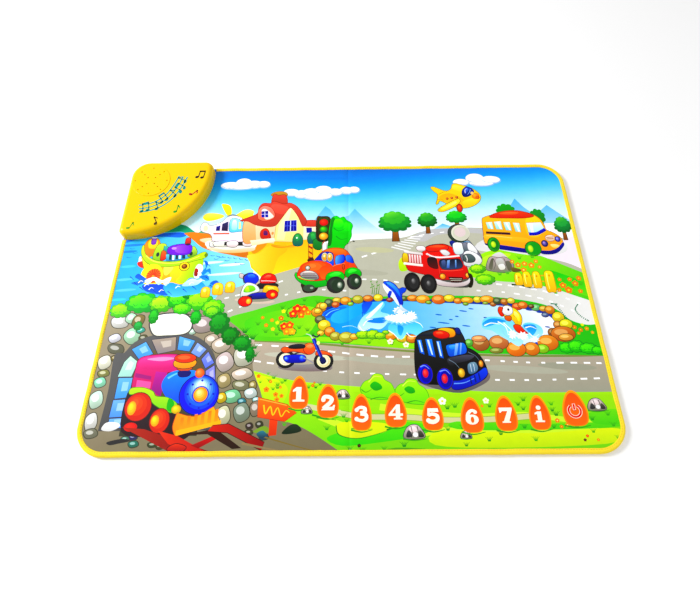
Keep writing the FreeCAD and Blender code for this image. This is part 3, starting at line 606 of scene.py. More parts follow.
# %% [markdown]
# ## Stones, bushes, trees and flowers
# Many things in the picture repeat, so each gets a small helper: a stone is a shape with a lighter top, a
# bush is a row of lumps with a lit side, a tree is lumps on a trunk, and a flower is five petals round a
# dot.

# %% Helpers for the things that repeat
def stone(x, y, across, up, ink, turn=0):
    """A stone with a dark line, a lit top left and a shaded foot."""
    cos, sin = math.cos(math.radians(turn)), math.sin(math.radians(turn))
    corners = []
    for i in range(8):
        angle = math.radians(45 * i + 22)
        reach = 1.0625 if i % 2 else 0.97         # a little square
        u, v = across * reach * math.cos(angle), up * reach * math.sin(angle)
        corners.append((x + u * cos - v * sin, y + u * sin + v * cos))
    outline = smooth(corners, steps=3)
    figure(outline, blend_ink(ink, "332", 0.06), blend_ink(ink, "332", 0.4), (0.4, -1), "332", 1.1)
    lay(oval(x - across * 0.18, y + up * 0.22, across * 0.55, up * 0.45, turn), blend_ink(ink, "fff", 0.5))


def lumps(x, y, across, up, ink, ink2, count=9, line=None):
    """A leafy clump: a round form whose edge swells out in lumps."""
    points = []
    steps = count * 4
    for i in range(steps):
        angle = 2 * math.pi * i / steps
        reach = 0.84 + 0.16 * abs(math.sin(angle * count / 2)) ** 0.6
        points.append(Vector((x + across * reach * math.cos(angle), y + up * reach * math.sin(angle))))
    if line:
        lay(grown(points, 0.8), line)
    lay(points, ink, ink2, (0.3, -1))


def bush(x, y, across, up, dark="182", mid="3c3", lit="ae1"):
    lumps(x, y, across, up, mid, dark, 9, line="162")
    lumps(x - across * 0.1, y + up * 0.12, across * 0.72, up * 0.66, lit, mid, 8)
    for shift in (-0.4, 0.05, 0.42):
        stroke([(x + across * (shift - 0.12), y - up * 0.1), (x + across * shift, y - up * 0.3),
                (x + across * (shift + 0.14), y - up * 0.12)], 1.2, dark, 0.4)


def tree(x, foot, wide, high, ink="3a3", dark="183", lit="7d4"):
    """A round tree: its foot, its width and its whole height."""
    figure([(x - wide * 0.1, foot), (x + wide * 0.1, foot), (x + wide * 0.07, foot + high * 0.4),
            (x - wide * 0.07, foot + high * 0.4)], "a62", "741")
    middle = foot + high * 0.66
    lumps(x, middle - high * 0.1, wide * 0.5, high * 0.26, dark, blend_ink(dark, "000", 0.2), 10, line="162")
    lumps(x, middle, wide * 0.47, high * 0.28, ink, dark, 10)
    lumps(x - wide * 0.02, middle + high * 0.1, wide * 0.36, high * 0.22, blend_ink(ink, lit, 0.5), ink, 9)
    lumps(x - wide * 0.06, middle + high * 0.17, wide * 0.22, high * 0.13, lit, ink, 7)


def flower(x, y, reach, petals="f72", heart="fd3"):
    for i in range(5):
        angle = math.radians(72 * i + 18)
        lay(oval(x + reach * 0.62 * math.cos(angle), y + reach * 0.62 * math.sin(angle), reach * 0.46), petals)
    lay(oval(x, y, reach * 0.34), heart)


def tuft(x, y, size, ink="492"):
    """Five blades of grass that fan out from one foot."""
    for i in range(-2, 3):
        lean = i * size * 0.32
        blade = [(x + lean * 0.3, y), (x + lean * 0.7, y + size * 0.6), (x + lean * 1.4, y + size)]
        stroke(blade, size * 0.16, ink, 0.2)


# %% [markdown]
# ## The stone tunnel and the engine
# The front left corner shows a stone tunnel with a toy steam engine coming out of it. The arch is a ring of
# dressed blocks, and loose stones fill the wall round it. The engine's round front is a plain lamp and
# door.

# %% Lay the tunnel's wall
for x, y, across, up, ink, turn in listed("""
-334,-49,13,9,#eee,-12 -318,-43,8,8,#cfd,40 -336,-74,8.5,6.5,#eef,8 -312,-71,11,12,#bec,25
-331,-90,12,7,#665,-14 -343,-110,9,10,#ffe,0 -341,-126,8,5,#884,0 -343,-139,8,7,#9ec,0
-343,-163,9,12,#dfe,0 -343,-193,8,12,#eee,0 -307,-47,8,10,#874,-30 -301,-62,6,4,#4ba,10
-295,-74,6,4.5,#553,0 -234,-30,9,7,#aa8,-20 -226,-65,5,4.5,#ced,0 -212,-54,15,13,#baa,-10
-196,-78,10,9,#cba,0 -182,-86,13,11,#dcb,10 -163,-70,7,6,#aa4,0 -150,-76,6,5,#7a5,0 -174,-111,12,14,#dcc,10
-148,-103,14,15,#ddc,-8 -172,-138,9,10,#ba7,0 -148,-129,14,8,#edc,6 -148,-145,12,7,#886,-8
-132,-145,5,6,#a95,0 -159,-160,12,9,#8da,0 -134,-156,8.5,7,#dee,0 -145,-167,5.5,4,#389,0
-126,-165,4.5,3.5,#bee,0 -168,-186,9,13,#ddb,0 -144,-182,10.5,12.5,#898,0 -126,-177,7,10,#987,0
-173,-162,6.5,7,#ec2,0 -283,-213,5.5,4,#226,0 -281,-222,6.5,4,#276,0 -256,-223,6,3,#342,0
-246,-225,5,3.5,#442,0 -132,-200,4.5,4,#322,0 -119,-198,4.5,4,#332,0 -112,-214,6,3.5,#246,0
-132,-208,5,3,#442,0 -340,-208,9,6,#776,0 -330,-104,5,4,#762,0 -293,-215,5,2.5,#487,0
"""):
    stone(x, y, across, up, ink, turn)
draw("""
c 222 -316,-219 -296,-215 -286,-218 -300,-221 -312,-223
c 793 -124,-205 -112,-200 -104,-206 -112,-210 -126,-208
c 555>444 -331,-100 -318,-96 -306,-80 -282,-70 -258,-67 -232,-68 -212,-76 -196,-90 -186,-112 -184,-150
 -184,-205! -331,-205! -329,-150
c 653>332 -300,-110 -284,-96 -262,-90 -236,-92 -214,-100 -202,-120 -200,-160 -200,-212! -302,-212! -302,-150
""")
BLOCKS = """
bec -320,-131 -315,-110 -308,-101 -296,-110 -301,-131
5ae -318,-162 -318,-133 -299,-133 -299,-160
6af -320,-187 -319,-164 -299,-163 -299,-186
6ae -319,-200 -319,-189 -299,-188 -300,-201
5ae -308,-91 -290,-80 -277,-98 -295,-106
987 -282,-77 -248,-73 -246,-93 -270,-98
5ae -243,-72 -220,-79 -226,-95 -243,-92
8ae -216,-82 -202,-92 -211,-104 -223,-97
78e -199,-96 -189,-112 -200,-120 -207,-107
88e -188,-116 -184,-140 -197,-140 -199,-124
"""
for ink, *block in (row.split() for row in BLOCKS.strip().splitlines()):
    block = listed(" ".join(block))
    outline = smooth([p for corner in block for p in (corner, corner)])
    figure(outline, blend_ink(ink, "fff", 0.15), blend_ink(ink, "24a", 0.18), (0, -1), "334", 1.0)
    middle = sum((Vector(p) for p in block), Vector((0, 0))) / len(block)
    lay([middle + (Vector(p) - middle) * 0.45 + Vector((1.5, 2)) for p in block], blend_ink(ink, "fff", 0.4))
draw("""
c eee>ccc -327,-203 -322,-194 -308,-194 -303,-199 -314,-205
""")
capstone = listed("-289,-52 -282,-40 -262,-36 -240,-38 -230,-48 -229,-60 -238,-68 -262,-70 -280,-69")
figure(smooth(capstone), "fff", "eed", line="444", width=2.2)
draw("""
c fff -276,-44 -258,-40 -242,-43 -246,-52 -266,-53
""")

# %% Lay the engine
ENGINE = (-300, -180)
draw("""
c 212>211 -2,25 10,30 38,15 70,-5 95,-25 70,-42 38,-34 0,-26
C d38>b16/603 3,62 4,72 12,78 38,81 64,79 67,68 60,56 46,52 43,22 24,28 4,30
p b29>817 32,56 48,54 44,20 30,30
c e5a>c27 5,69 12,76 38,79 62,77 64,64 38,59 10,61
c f9c 16,74 38,77 56,75 38,71
p 917 4,54 27,49 27,44 4,48
p f6a 8,44 28,41 28,32 8,33
c 19f>15e 43,34 46,48 56,56 74,58 94,50 94,5 74,10 54,18
s 7cf 3,1 50,46 62,53 76,54
C bd1>7c1/371 2,32 18,33 32,28 38,21 54,19 68,10 64,-1 50,3 36,11 28,20 16,25 2,24
c 2a1 56,18 64,12 62,0 55,4
b ca1>fe4 68,3 6.5,6
""", ENGINE)
for x, y, across, up in ((-284, -173, 17.5, 19), (-252, -192, 13, 16)):
    lay(oval(x, y, across + 1, up + 1), "511")
    ball(x, y, across, up, "c31", "e63", 4)
draw("""
b ea1>fe3 8,5 6,9.5
b ea1>fe3 42,-12 5.5,7.5
b c21>f43 11,-20 9,6
b c21>f43 42,-34 8,5
o 027 96,23 27.5,28.5
""", ENGINE)
ball(-204, -157, 26, 27, "12e", "14e", 2)
ball(-202, -154, 22, 23.5, "15e", "dff", 7, (-0.05, 0.42))
draw("""
o 14c -202,-157 11.5,12
""")
ball(-202, -157, 9.8, 10.4, "e91", "fe9", 5)
for i in range(8):
    lay(oval(-202 + 17.5 * math.cos(i * math.pi / 4), -156.5 + 19 * math.sin(i * math.pi / 4), 1.7), "13b")
draw("""
O d72>c51 71,62 11,6
c 116 63,56 80,56 79,49 70,47 64,49
C fb2>f91 55,70 62,74 78,74 86,70 83,63 70,60 57,63
O e52>d41 70,75 15,6.5
o f74 68,76 9,3
b d62>fa6 93,53 6.5,7
C fb2>f91@-1,-0.4/a41 70,-2! 95,-7 118,6! 130,-16! 100,-23 72,-32! 67,-20
""", ENGINE)
for i in range(6):
    x = -224 + i * 9
    bar = ((x, -188 + i * 2.0), (x + 4, -188 + i * 2.3), (x + 4.6, -205 + i * 2.1), (x - 0.5, -206 + i * 2.0))
    lay([Vector(p) for p in bar], "e81", "fa2")
draw("""
p fb2 -228,-205 -170,-192 -170,-197 -228,-212
""")

# %% Lay the rails and the signpost
RAILS = (-180, -230)
draw("""
p a31>710@1,0 -120,30 -90,27 0,-2 -15,-8 -45,-6
p d42>a21@1,0 -72,25 -45,18 2,-6 -20,-7 -56,8
p c21>810 -26,6 2,18 10,16 -16,2
p 310>210 -42,19 4,27 40,2 28,1 -6,20
P c31>810@1,-0.2/300 0,31 20,33 69,9 66,-1 20,22 -6,24
C d42>811/300 -56,2 -46,8 -32,4 -38,-3 -50,-4
p e51>c41 74,44 85,42 84,18 74,17
P f82>e51/a30 57,68 96,58 109,47 94,36 58,42
s fc3 2.2,1.2 65,58 68,46 74,56 78,44 84,54 89,42 95,50 100,47
s fb5 1.2 59,66 80,61 96,57
""", RAILS)
for x, y, r in listed("-125,-132,3 -113,-151,4 -100,-158,3.5 -98,-165,3.5 -92,-160,3"):
    flower(x, y, r, "e92", "c61")
for x, y, s in listed("-110,-140,5 -98,-146,6 -122,-142,4 -104,-152,5 -92,-143,5 -86,-200,6 -112,-130,4"):
    tuft(x, y, s, "5a2")

# %% Lay the bushes over the tunnel and along its side
for x, y, across, up, dark, mid, lit in listed("""
-337,-30,16,12,#4a2,#7d2,#be1 -306,-18,26,17,#193,#3c3,#8e2 -278,-20,18,14,#4a2,#8d1,#ce1
-254,-12,16,17,#192,#4d2,#ae2 -236,-3,14,10,#172,#192,#5c3 -222,-16,20,16,#3a2,#7d2,#be1
-246,-28,14,9,#3a2,#6d2,#9e2 -200,-28,17,15,#3a2,#7d2,#ae2 -286,-40,7,12,#182,#2a3,#4c3
-224,-42,8,11,#182,#2a3,#3c3 -200,-34,12,10,#292,#6c3,#ad2 -188,-52,15,18,#162,#182,#3a3
-170,-72,13,14,#051,#172,#292 -152,-84,13,12,#162,#182,#3a3 -140,-100,6,12,#162,#182,#293
-306,-55,6,7,#183,#294,#3b5
"""):
    bush(x, y, across, up, dark, mid, lit)
for x, y in ((-133, -104), (-134, -92), (-138, -78), (-150, -68)):
    tuft(x, y, 9, "172")
print(len(prints), "shapes so far")

# %% [markdown]
# ## The toys along the shore
# From here each shape is one row of a small table. Every vehicle is built the same way: the dark outline of
# its body first, then panels, windows and lamps, and its wheels last. The vehicles have lamps where a
# cartoon has eyes.

# %% Lay the boat, the helicopter and the posts
HELICOPTER = (-220, 80)
draw("""
c fe7>fe2 -13,62 -16,54 -8,48 6,50 18,56 14,61 -2,64
c fe3>ed2 12,82 16,70 24,58 30,62 26,78
c fe8>fe2 52,70 36,58 42,51 60,52 66,66
c fff>ddc -2,10 2,-6 24,-12 60,-11 74,-2 68,10
C fff>ede/555 -17,38 -14,45 -8,44 -3,39 6,40 16,46 23,54 32,58 44,55 52,46 57,32 63,20 60,12 50,8 24,8 6,9
 3,18 -2,24 -12,27 -17,32
o eeb -9,34 4,6 8
p fff>cee 9,44 14,38 14,30 9,29
P 229>115/cbd 8,37 14,39 14,29 8,29
P 336>213/cbd 17,42 26,47 27,28 17,29
C aee>6ce/278 30,51 42,51 50,44 53,30 42,27 30,28
c eff>9ee 33,48 39,48 41,32 33,32
p fe9 43,46 46,45 48,33 44,32
p e64>e87 4,25 30,25 30,22 5,22
O def 57,20 2.4,3.4
C ffe>ccc/433 1,7 8,9 12,4 9,-1 2,0
C fff>ccb/433 8,8 28,9 30,4 28,-1 10,0 7,4
p 222>111 24,8 60,7 60,0 24,1
C fff>cbb/433 30,8 42,9 46,4 42,-2 31,-1 28,4
C fff>cbb/433 55,8 65,9 69,4 64,-1 56,0 53,4
s 666 1.6 23,57 32,60 41,57
c edc>db7 -2,-4 30,-13 68,-10 70,-3 30,-7 6,-2
""", HELICOPTER)
BOAT = (-320, 10)
draw("""
C fa2>f81/751 2,82 12,87 20,82 23,70 18,56 2,52 -4,64
c fe2>fc2 4,82 12,85 18,80 18,68 6,68
C a7d>73b/427 9,87 14,87 15,76 9,76
p fff>cee 7,89 17,88 14,86 8,86
C ce4>8b2/562 19,72 28,76 34,70 36,50 22,44 15,52
o 233 22,56 2.6,4
P 4ba>166/562 30,72 36,70 38,52 30,50
C e73>c32/622 28,62 34,60 35,48 28,46
P 7de>38b/235 35,56 74,58 78,48 37,44
p 134 40,56 44,56 45,46 41,46
p eff 45,56 48,56 49,46 46,46
p 134 50,56 54,56 55,47 51,47
p eff 55,57 58,57 59,48 56,48
p 134 60,57 65,57 66,48 61,48
C ce5>692/562 70,64 77,70 83,60 80,52 70,52
o 132 74,57 2.6,3.8
C 82e>72c/318 36,62 39,70 52,74 68,74 74,68 72,58 62,55 42,56
c a6f>83e@1,0 48,70 62,73 70,68 68,59 56,58 48,62
o c9f 46,67 4,2.4
C e54>a22/522 63,85 69,85 70,74 63,74
o 324 67,74 4,2
c fff>def -6,52 -1,50 0,36 -5,38
c e42>c31 -7,42 1,44 6,34 2,32 -5,36
C fe2>fc0/661 -2,52 8,40 24,35 50,35 74,40 92,50 94,30 88,12 74,4 54,2 36,4 18,8 8,18 4,34
c ee1>9d1@1,-0.4 58,34 92,48 92,30 86,14 70,4 58,8 64,20
c fb1 42,2 30,10 34,24 22,34 30,35 44,26 48,10
c fe6 36,34 50,33 44,20 38,20
C de2>ad1/471 -3,74 2,58 16,47 36,43 58,44 78,51 92,59 98,58 98,50 80,44 58,36 30,34 10,40 -1,52 -5,64
s ef6 2.2,1.2 4,54 18,44 40,40 64,42 88,52
o 681 98,54 3,4
o fe1 19,20 17,19 10
o 641 67,34 8.4,8.4
o fd2 67,34 7.4,7.4
b 520>c83 67,34 4.6,4.6
o e91 22,18 11.5,13
o e72 22,18 10,11.4
""", BOAT)
for i in range(16):
    angle = math.radians(i * 22.5)
    tip = Vector((-298 + 11 * math.cos(angle), 28 + 12.4 * math.sin(angle)))
    stroke([Vector((-298, 28)), tip.lerp(Vector((-298, 28)), 0.5), tip], 0.8, "c31", 1.6)
draw("""
b e52>fb4 22,16 4,4.6
c fff>def 85,34 90,38 96,32 94,16 87,12 83,20
c b32>821 84,30 89,28 89,17 84,18
c 16d>28e 2,2 14,10 8,16 -2,22 -6,16 2,10 -10,6
c 15d>17e 8,2 14,-8 34,-14 48,-16 58,-10 54,0 40,2 24,4
c 29e>6cf 40,-2 54,-18 76,-16 98,-12 114,-4 120,6 114,8 106,-2 98,6 80,14 68,2 50,6
c eff>bef 10,10 16,4 24,10 32,2 38,6 44,0 50,14 44,14 36,10 24,16
c eff>ade 68,0 80,12 92,10 98,16 94,4 84,0
c 27e>29e 96,44 103,40 101,28 107,30 109,20 104,24 98,18 94,24 100,32
c 27e>3ae 92,16 104,18 108,10 102,8 96,12
c 16d>28e 110,4 118,9 124,4 122,-4 116,0
""", BOAT)
for x, y in listed("-330,24 -322,14 -312,6 -290,0 -268,-2 -246,2 -232,6 -214,22 -206,8 -216,46"):
    stroke([(x - 4, y + 3), (x, y), (x + 3, y - 3)], 1.6, "14a", 0.4)
for x, y in listed("-316,18 -298,6 -282,2 -258,8 -238,14 -222,18 -228,34 -276,14 -306,12"):
    stroke([(x - 3, y - 2), (x, y + 1.6), (x + 4, y)], 1.6, "fff", 0.5)
for x, y, r in ((-215, -2, 6), (-197, 3, 7), (-179, 6, 6.5)):
    draw(f"""
C fe4>eb2/a71 {-r},{r} 0,{r * 1.6} {r},{r} {r},{-r} 0,{-r * 1.2} {-r},{-r}
o fe9 -1.5,{r * 0.7} {r * 0.4},{r * 0.5}
s b71 0.8,0.4 2,{r * 0.6} 2.4,-1 1.6,{-r * 0.7}
""", (x, y))

# %% Lay the house, the traffic light and the scooter
HOUSE = (-130, 80)
draw("""
C c93>a72/752 2,98 6,104 18,106 27,103 28,97 20,94
C d54>b43/821 6,100 14,98 26,98 28,78 5,78
C fc9>ea6/a62 -38,46 -20,50 -16,16 -22,6 -36,8
p fdb>ec9 -20,42 18,42 12,4 -16,8
C fea>ed8/b94 14,38! 26,68! 36,74! 48,64! 58,38! 58,6! 12,8!
p ffc>fea 18,38 33,70 37,70 32,38 28,10 16,11
p eec>edb 58,40 80,40 80,12 58,10
C d54>c43/921 58,46 80,46 80,36 57,37
C d54>b43/921 -45,48 -28,56 -18,62 -16,74 -10,82 2,82 8,86 24,80 34,82 46,74 56,58 62,46 57,36 50,52 42,66
 35,73 28,64 20,50 12,38 -2,36 -20,40 -32,47
c e65>d54 6,80 22,78 32,72 24,60 10,64 2,70
C f98>e75/a21 -17,56 -16,70 -8,77 4,72 10,60 8,52 -4,47 -14,50
c fee>edc -12,66 -6,71 6,60 8,54 -4,50
p 228>22a/eed -12,66 -1,67 0,54 -11,54
s ddf 1 -6.4,66 -6,60 -5.4,54
s ddf 0.8 -12,60 -6,60.4 -0.6,60
c f87 -2,72! 6,70! 8,58!
P 22a>118/eed 27,47 46,48 47,27 27,26
s def 1.2 36.6,47 36.8,37 37,27
s 67e 0.8 27,37 37,37.4 46,37
s 67e 0.6 31.6,46 31.8,36 32,27
s 67e 0.6 41.6,47 41.8,37 42,27
P 118>229/eed 62,33 71,33 72,23 63,23
C d42>b32/821 -10,26 -4,32 2,28 6,12 -8,14
c 725>416 -5,28 0,27 1,20 -5,20
o d95 9,23 2,3
p eed>eda -26,10 12,14 14,8 -22,0
c f92>eb2 10,2 30,-1 46,2 44,-4 24,-5 10,-2
s d81 1.6,0.5 12,-2 26,-4 38,-1
C 394>155/143 42,12 46,21 52,21 57,12 56,0 44,0
c 4b5>285 46,18 50,19 52,12 48,8
o efe 48,14 1.4,1.6
C 394>145/133 65,14 70,24 78,23 83,12 80,2 68,2
c 4b5>284 70,20 75,21 77,12 72,10
C 283>162/142 74,8 82,12 88,4 86,-8 76,-6
P eb2>ea1/741 67,2 73,2 74,-26 68,-26
p a31 67,0 73,-4 73,-8 67,-4
p a31 67,-10 73,-14 74,-18 68,-14
p a31 68,-20 74,-24 74,-28 68,-26
c 521>320 66,-26 74,-22 76,-30 68,-31
P fff>ddc/777 89,4 95,4 95,-16 89,-16
C 531>221/221 79,51 86,54 98,53 101,42 100,14 94,7 84,7 79,16
C 341>220/110 82,50 90,52 98,50 98,12 90,8 82,12
b c22>f53 90,43 7,6.4
b 272>6e3 90,29.5 6.6,6.2
b d91>fe7 90,16.5 7,6.6
s a42 1.6,1 92,8 90,4 88,0
""", HOUSE)
SCOOTER = (-160, -10)
draw("""
c cb9>887 4,20 30,24 52,14 52,-2 30,-8 0,-4
C dcc>baa/666 -6,40 0,38 0,32 -6,34
s 334 2.6,2.2 14,14 12,28 8,37
s 889 1.2 2,39 8,37 17,40
C 25e>13c/027 2,28 0,36 9,41 19,38 23,30 18,22 6,21
c 59f>25e 6,37 14,39 18,34 10,32
C 222>111/000 22,20 30,24 42,24 52,21 52,17 40,16 26,14
C e32>c21/511 26,26 28,35 36,40 46,37 50,29 48,24 30,23
c f86>e32 30,32 36,37 42,36 38,31
s fdd 1.2,0.8 27,27 38,27 49,26
C fd3>ea2/a71 34,18 44,18 52,16 54,8 44,6 32,6
c fe7>ec2 38,16 46,16 48,12 40,12
C 33b>116/003 10,4 32,7 42,2 38,-2 12,-3
C eee>ccc/555 -2,4 2,20 8,24 20,20 26,10 14,6 2,0
c 9e3>6b2 2,9 6,19 16,19 20,12 12,8
c de4>9d2 4,14 8,18 11,10 6,9
p 112>002 0,2 16,2 14,-4 0,-3
B d21>f42 6,-7 10,8.4
b ea2>fd6 11,-7 3.6,4.4
B d21>f32 45,4 8.6,7.4
b ea2>fd6 46.4,3.6 3.2,3.2
s 334 2.4,2 2,24 0,34 6,40
""", SCOOTER)
print(len(prints), "shapes so far")

# %% Lay the trees, the big tree and the car
tree(74, 85, 54, 60)
tree(126, 99, 32, 42, "293", "162", "6c3")
tree(173, 108, 34, 36, "2c3", "193", "5d3")
lumps(254, 142, 16, 14, "2a2", "182", 9)
lumps(303, 128, 13, 17, "293", "172", 9)
tree(340, 84, 28, 46, "294", "173", "6c3")
CAR = (-80, 20)
draw("""
C 2d1>1b2/182 47,56 49,72 49,88 51,102 53,111 60,115 66,111 72,113 76,107 82,103 86,96 84,86 84,76 80,66
 74,58 70,52 50,52
c 182>161 47,60 49,80 51,100 53,111 58,110 54,92 54,76 52,60
c 6e2>2d1 58,108 68,108 72,98 64,92 56,96
c 4e2>2d1 74,102 82,98 80,86 72,88
s 182 1.6,0.4 60,76 68,70 78,72
s 182 1.6,0.4 56,92 64,86 74,90
s 222 0.8,0.4 72,52 76,60 88,67
c 221 86,68 90,66 87,65
C 321>211/110 10,-8 32,-8 32,-18 26,-23 14,-23 10,-16
C e62>e42/721 2,10 6,20 14,28 28,32 34,42 42,50 54,54 68,53 77,48 83,38 88,26 93,16 92,6 74,2 56,0 50,-6
 30,-10 8,-4 1,2
c e83>e62 42,49 52,53 68,52 76,47 74,40 62,42 54,46
C 23a>12c@1,0.2/125 27,30 34,41 42,47 54,45 56,34 55,22 42,28
c 49f>25e@0,-1 50,40 55,42 56,24 50,26 46,30
C 6bf>13d@1,-0.2/125 60,38 67,41 73,40 73,30 67,26 60,25
C 59f>13c@1,-0.2/125 75,38 79,41 84,38 87,27 80,29 76,31
s e96 1.2,0.6 53,20 62,24 74,26
b e51>f84 30,18 26,14
c e52>f72 36,18 50,24 56,16 50,2 38,0
s c31 1,0.5 53,16 52,6 47,0
C d62>c41/521 70,22 72,24 73,18 71,16
C dcc>666/322 7,10 16,14 28,11 34,2 30,-2 14,0 7,5
p 444 10,9 29,8.6 29,7.4 9,7.6
p 444 8,6 31,5.4 31,4.2 8,4.6
p 444 10,3 32,1.8 32,0.6 12,1.6
s ffe 1,0.6 12,11.6 20,12.4 26,11
B aa9>eee 17,19 3.4,3.6
C 2d3>192/141 0,11 2,2 12,-3 30,-5 44,-3 52,0 56,-7 46,-12 30,-15 14,-11 2,-2 -2,6
s 8e7 1.6,0.6 3,4 14,-1 28,-2.5
C 2c2>192/141 45,0 48,8 58,12 68,11 73,5 71,-2 64,-2 58,-8 50,-9
c 6e5>2d3 50,6 60,11 68,9 64,5 54,3
C 2c2>192/141 75,4 75,13 82,18 92,17 98,11 98,4 92,4 82,1
c 6e5>2d3 78,12 84,16 92,14 88,11 80,9
B 222>343 60,-11 13,13.5
o 232 63,-12 9,10.5
b 676>eed 66,-11.4 3.8,5.4
B 222>343 88,-6 10.5,13
o 232 90,-5.6 7.4,10
b 676>eed 91.6,-4.4 3.2,4.8
o 343 20,-16 9,6
o 898 24,-16 2.6,2
""", CAR)
for x, y in ((-37.5, 58), (-29.5, 57.5)):
    draw(f"O eee>bbb/224 {x},{y} 4.6,8\nO fd4>e92/a72 {x},{y} 3,6\no feb {x - 0.6},{y + 2} 1.4,2.4")

# %% Lay the fire engine and the radar
FIRE_ENGINE = (120, 10)
draw("""
c de2>ad2 -44,36 -38,46 -30,42 -26,30 -32,22 -42,22
C 665>333/221 8,0 30,-6 62,-6 64,8 56,14 12,12
C e32>c22/511 -31,42 -8,52 2,65 20,69 34,67 52,52 58,34 61,16 60,8 30,6 10,6 -2,14 -16,18 -30,24
C e42>d31/710 0,63 16,68 32,67 34,60 20,57 4,56
c f74>e42 4,64 18,67 30,65 20,62
C fff>dcc/766 -14,65 -3,65 -2,58 -13,58
C ed3>c92/641 -36,52 -30,52 -29,38 -37,38
p eee>dcc -34,58 -6,53 -6,49.6 -34,54.4
p 888 -33,54 -6,49.4 -6,48.6 -33,53
p c11>910 -28,52 -8,49 -8,32 -28,35
p ffe>edd -36,37 -7,33 -7,29 -36,33
""", FIRE_ENGINE)
for i in range(5):
    draw("p fee>ebb -1.2,61 1.2,60.7 1.2,46 -1.2,46.4", (94 + i * 4, -i * 0.5))
draw("""
s fee 3.2,2.6 0,52 8,47 20,45 38,46 54,48
s 821 0.8,0.6 1,50 10,45 22,43 40,44
C eee>ccc/877 22,57 30,58 36,52 32,48 26,50
C 211>511/300 2,44 14,43 16,26 3,30
s e54 1,0.6 16,44 17,30 18,16
C 112>346/211 20,40 36,41 50,41 53,28 40,24 22,25
c 569>235 22,38 28,39 27,27 23,27
p 8be>46b 31,39 35,40 33,26 29,26
p 8be>46b 43,40 45,40 44,27 42,26
s f65 1.4,0.6 20,22 36,21 54,23
C eee>baa/555 9,7 26,2 44,0 58,4 63,10 62,2 52,-5 30,-6 12,-2
P 411>200/511 30,10 52,9 49,2 34,2
s ccb 0.8 32,7.6 41,7 50,7
s ccb 0.8 33,4.6 41,4.2 49,4.2
B e82>fd6 21.5,11.5 4.4,4.8
B e82>fd6 59,13 2.8,4
B 111>222 -25,2 11.5,16
o 222 -23,2 7.6,11.4
b 333>888 -23,4 3.6,5.4
B 111>222 -0.5,-1 11.5,16
o 222 1,-0.6 7.6,11.4
b 333>888 -0.4,0 3.6,5.4
c 221>110 60,16 66,14 67,2 63,-8 58,-6 62,4
C 999>556/223 50,74 66,76 76,62 84,46 82,36 70,32 58,34 52,46
C 239>126/003 39,74 54,75 52,67 42,64
C fff>cdd/667 43,69 56,70 57,53 45,51
C 889>455/223 58,69 64,70 66,56 60,54
C fff>ddd/667 66,70 72,68 79,56 76,50 66,58
C fff>ccc/556 58,52 66,56 78,50 84,40 80,32 68,28 58,30 56,36
C 566>344/223 57,48 68,50 74,42 70,36 58,37
s eee 1.4,1 60,48 62,42 61,37
s 49c 1.6,1 56,72 64,73 70,72
O 444>232/221 53.5,89 16.5,17
o ddc 56.6,89.6 14.6,15
o ccb 57.4,88.6 13.2,13.4
o dcc 56,91 9,9
""", FIRE_ENGINE)

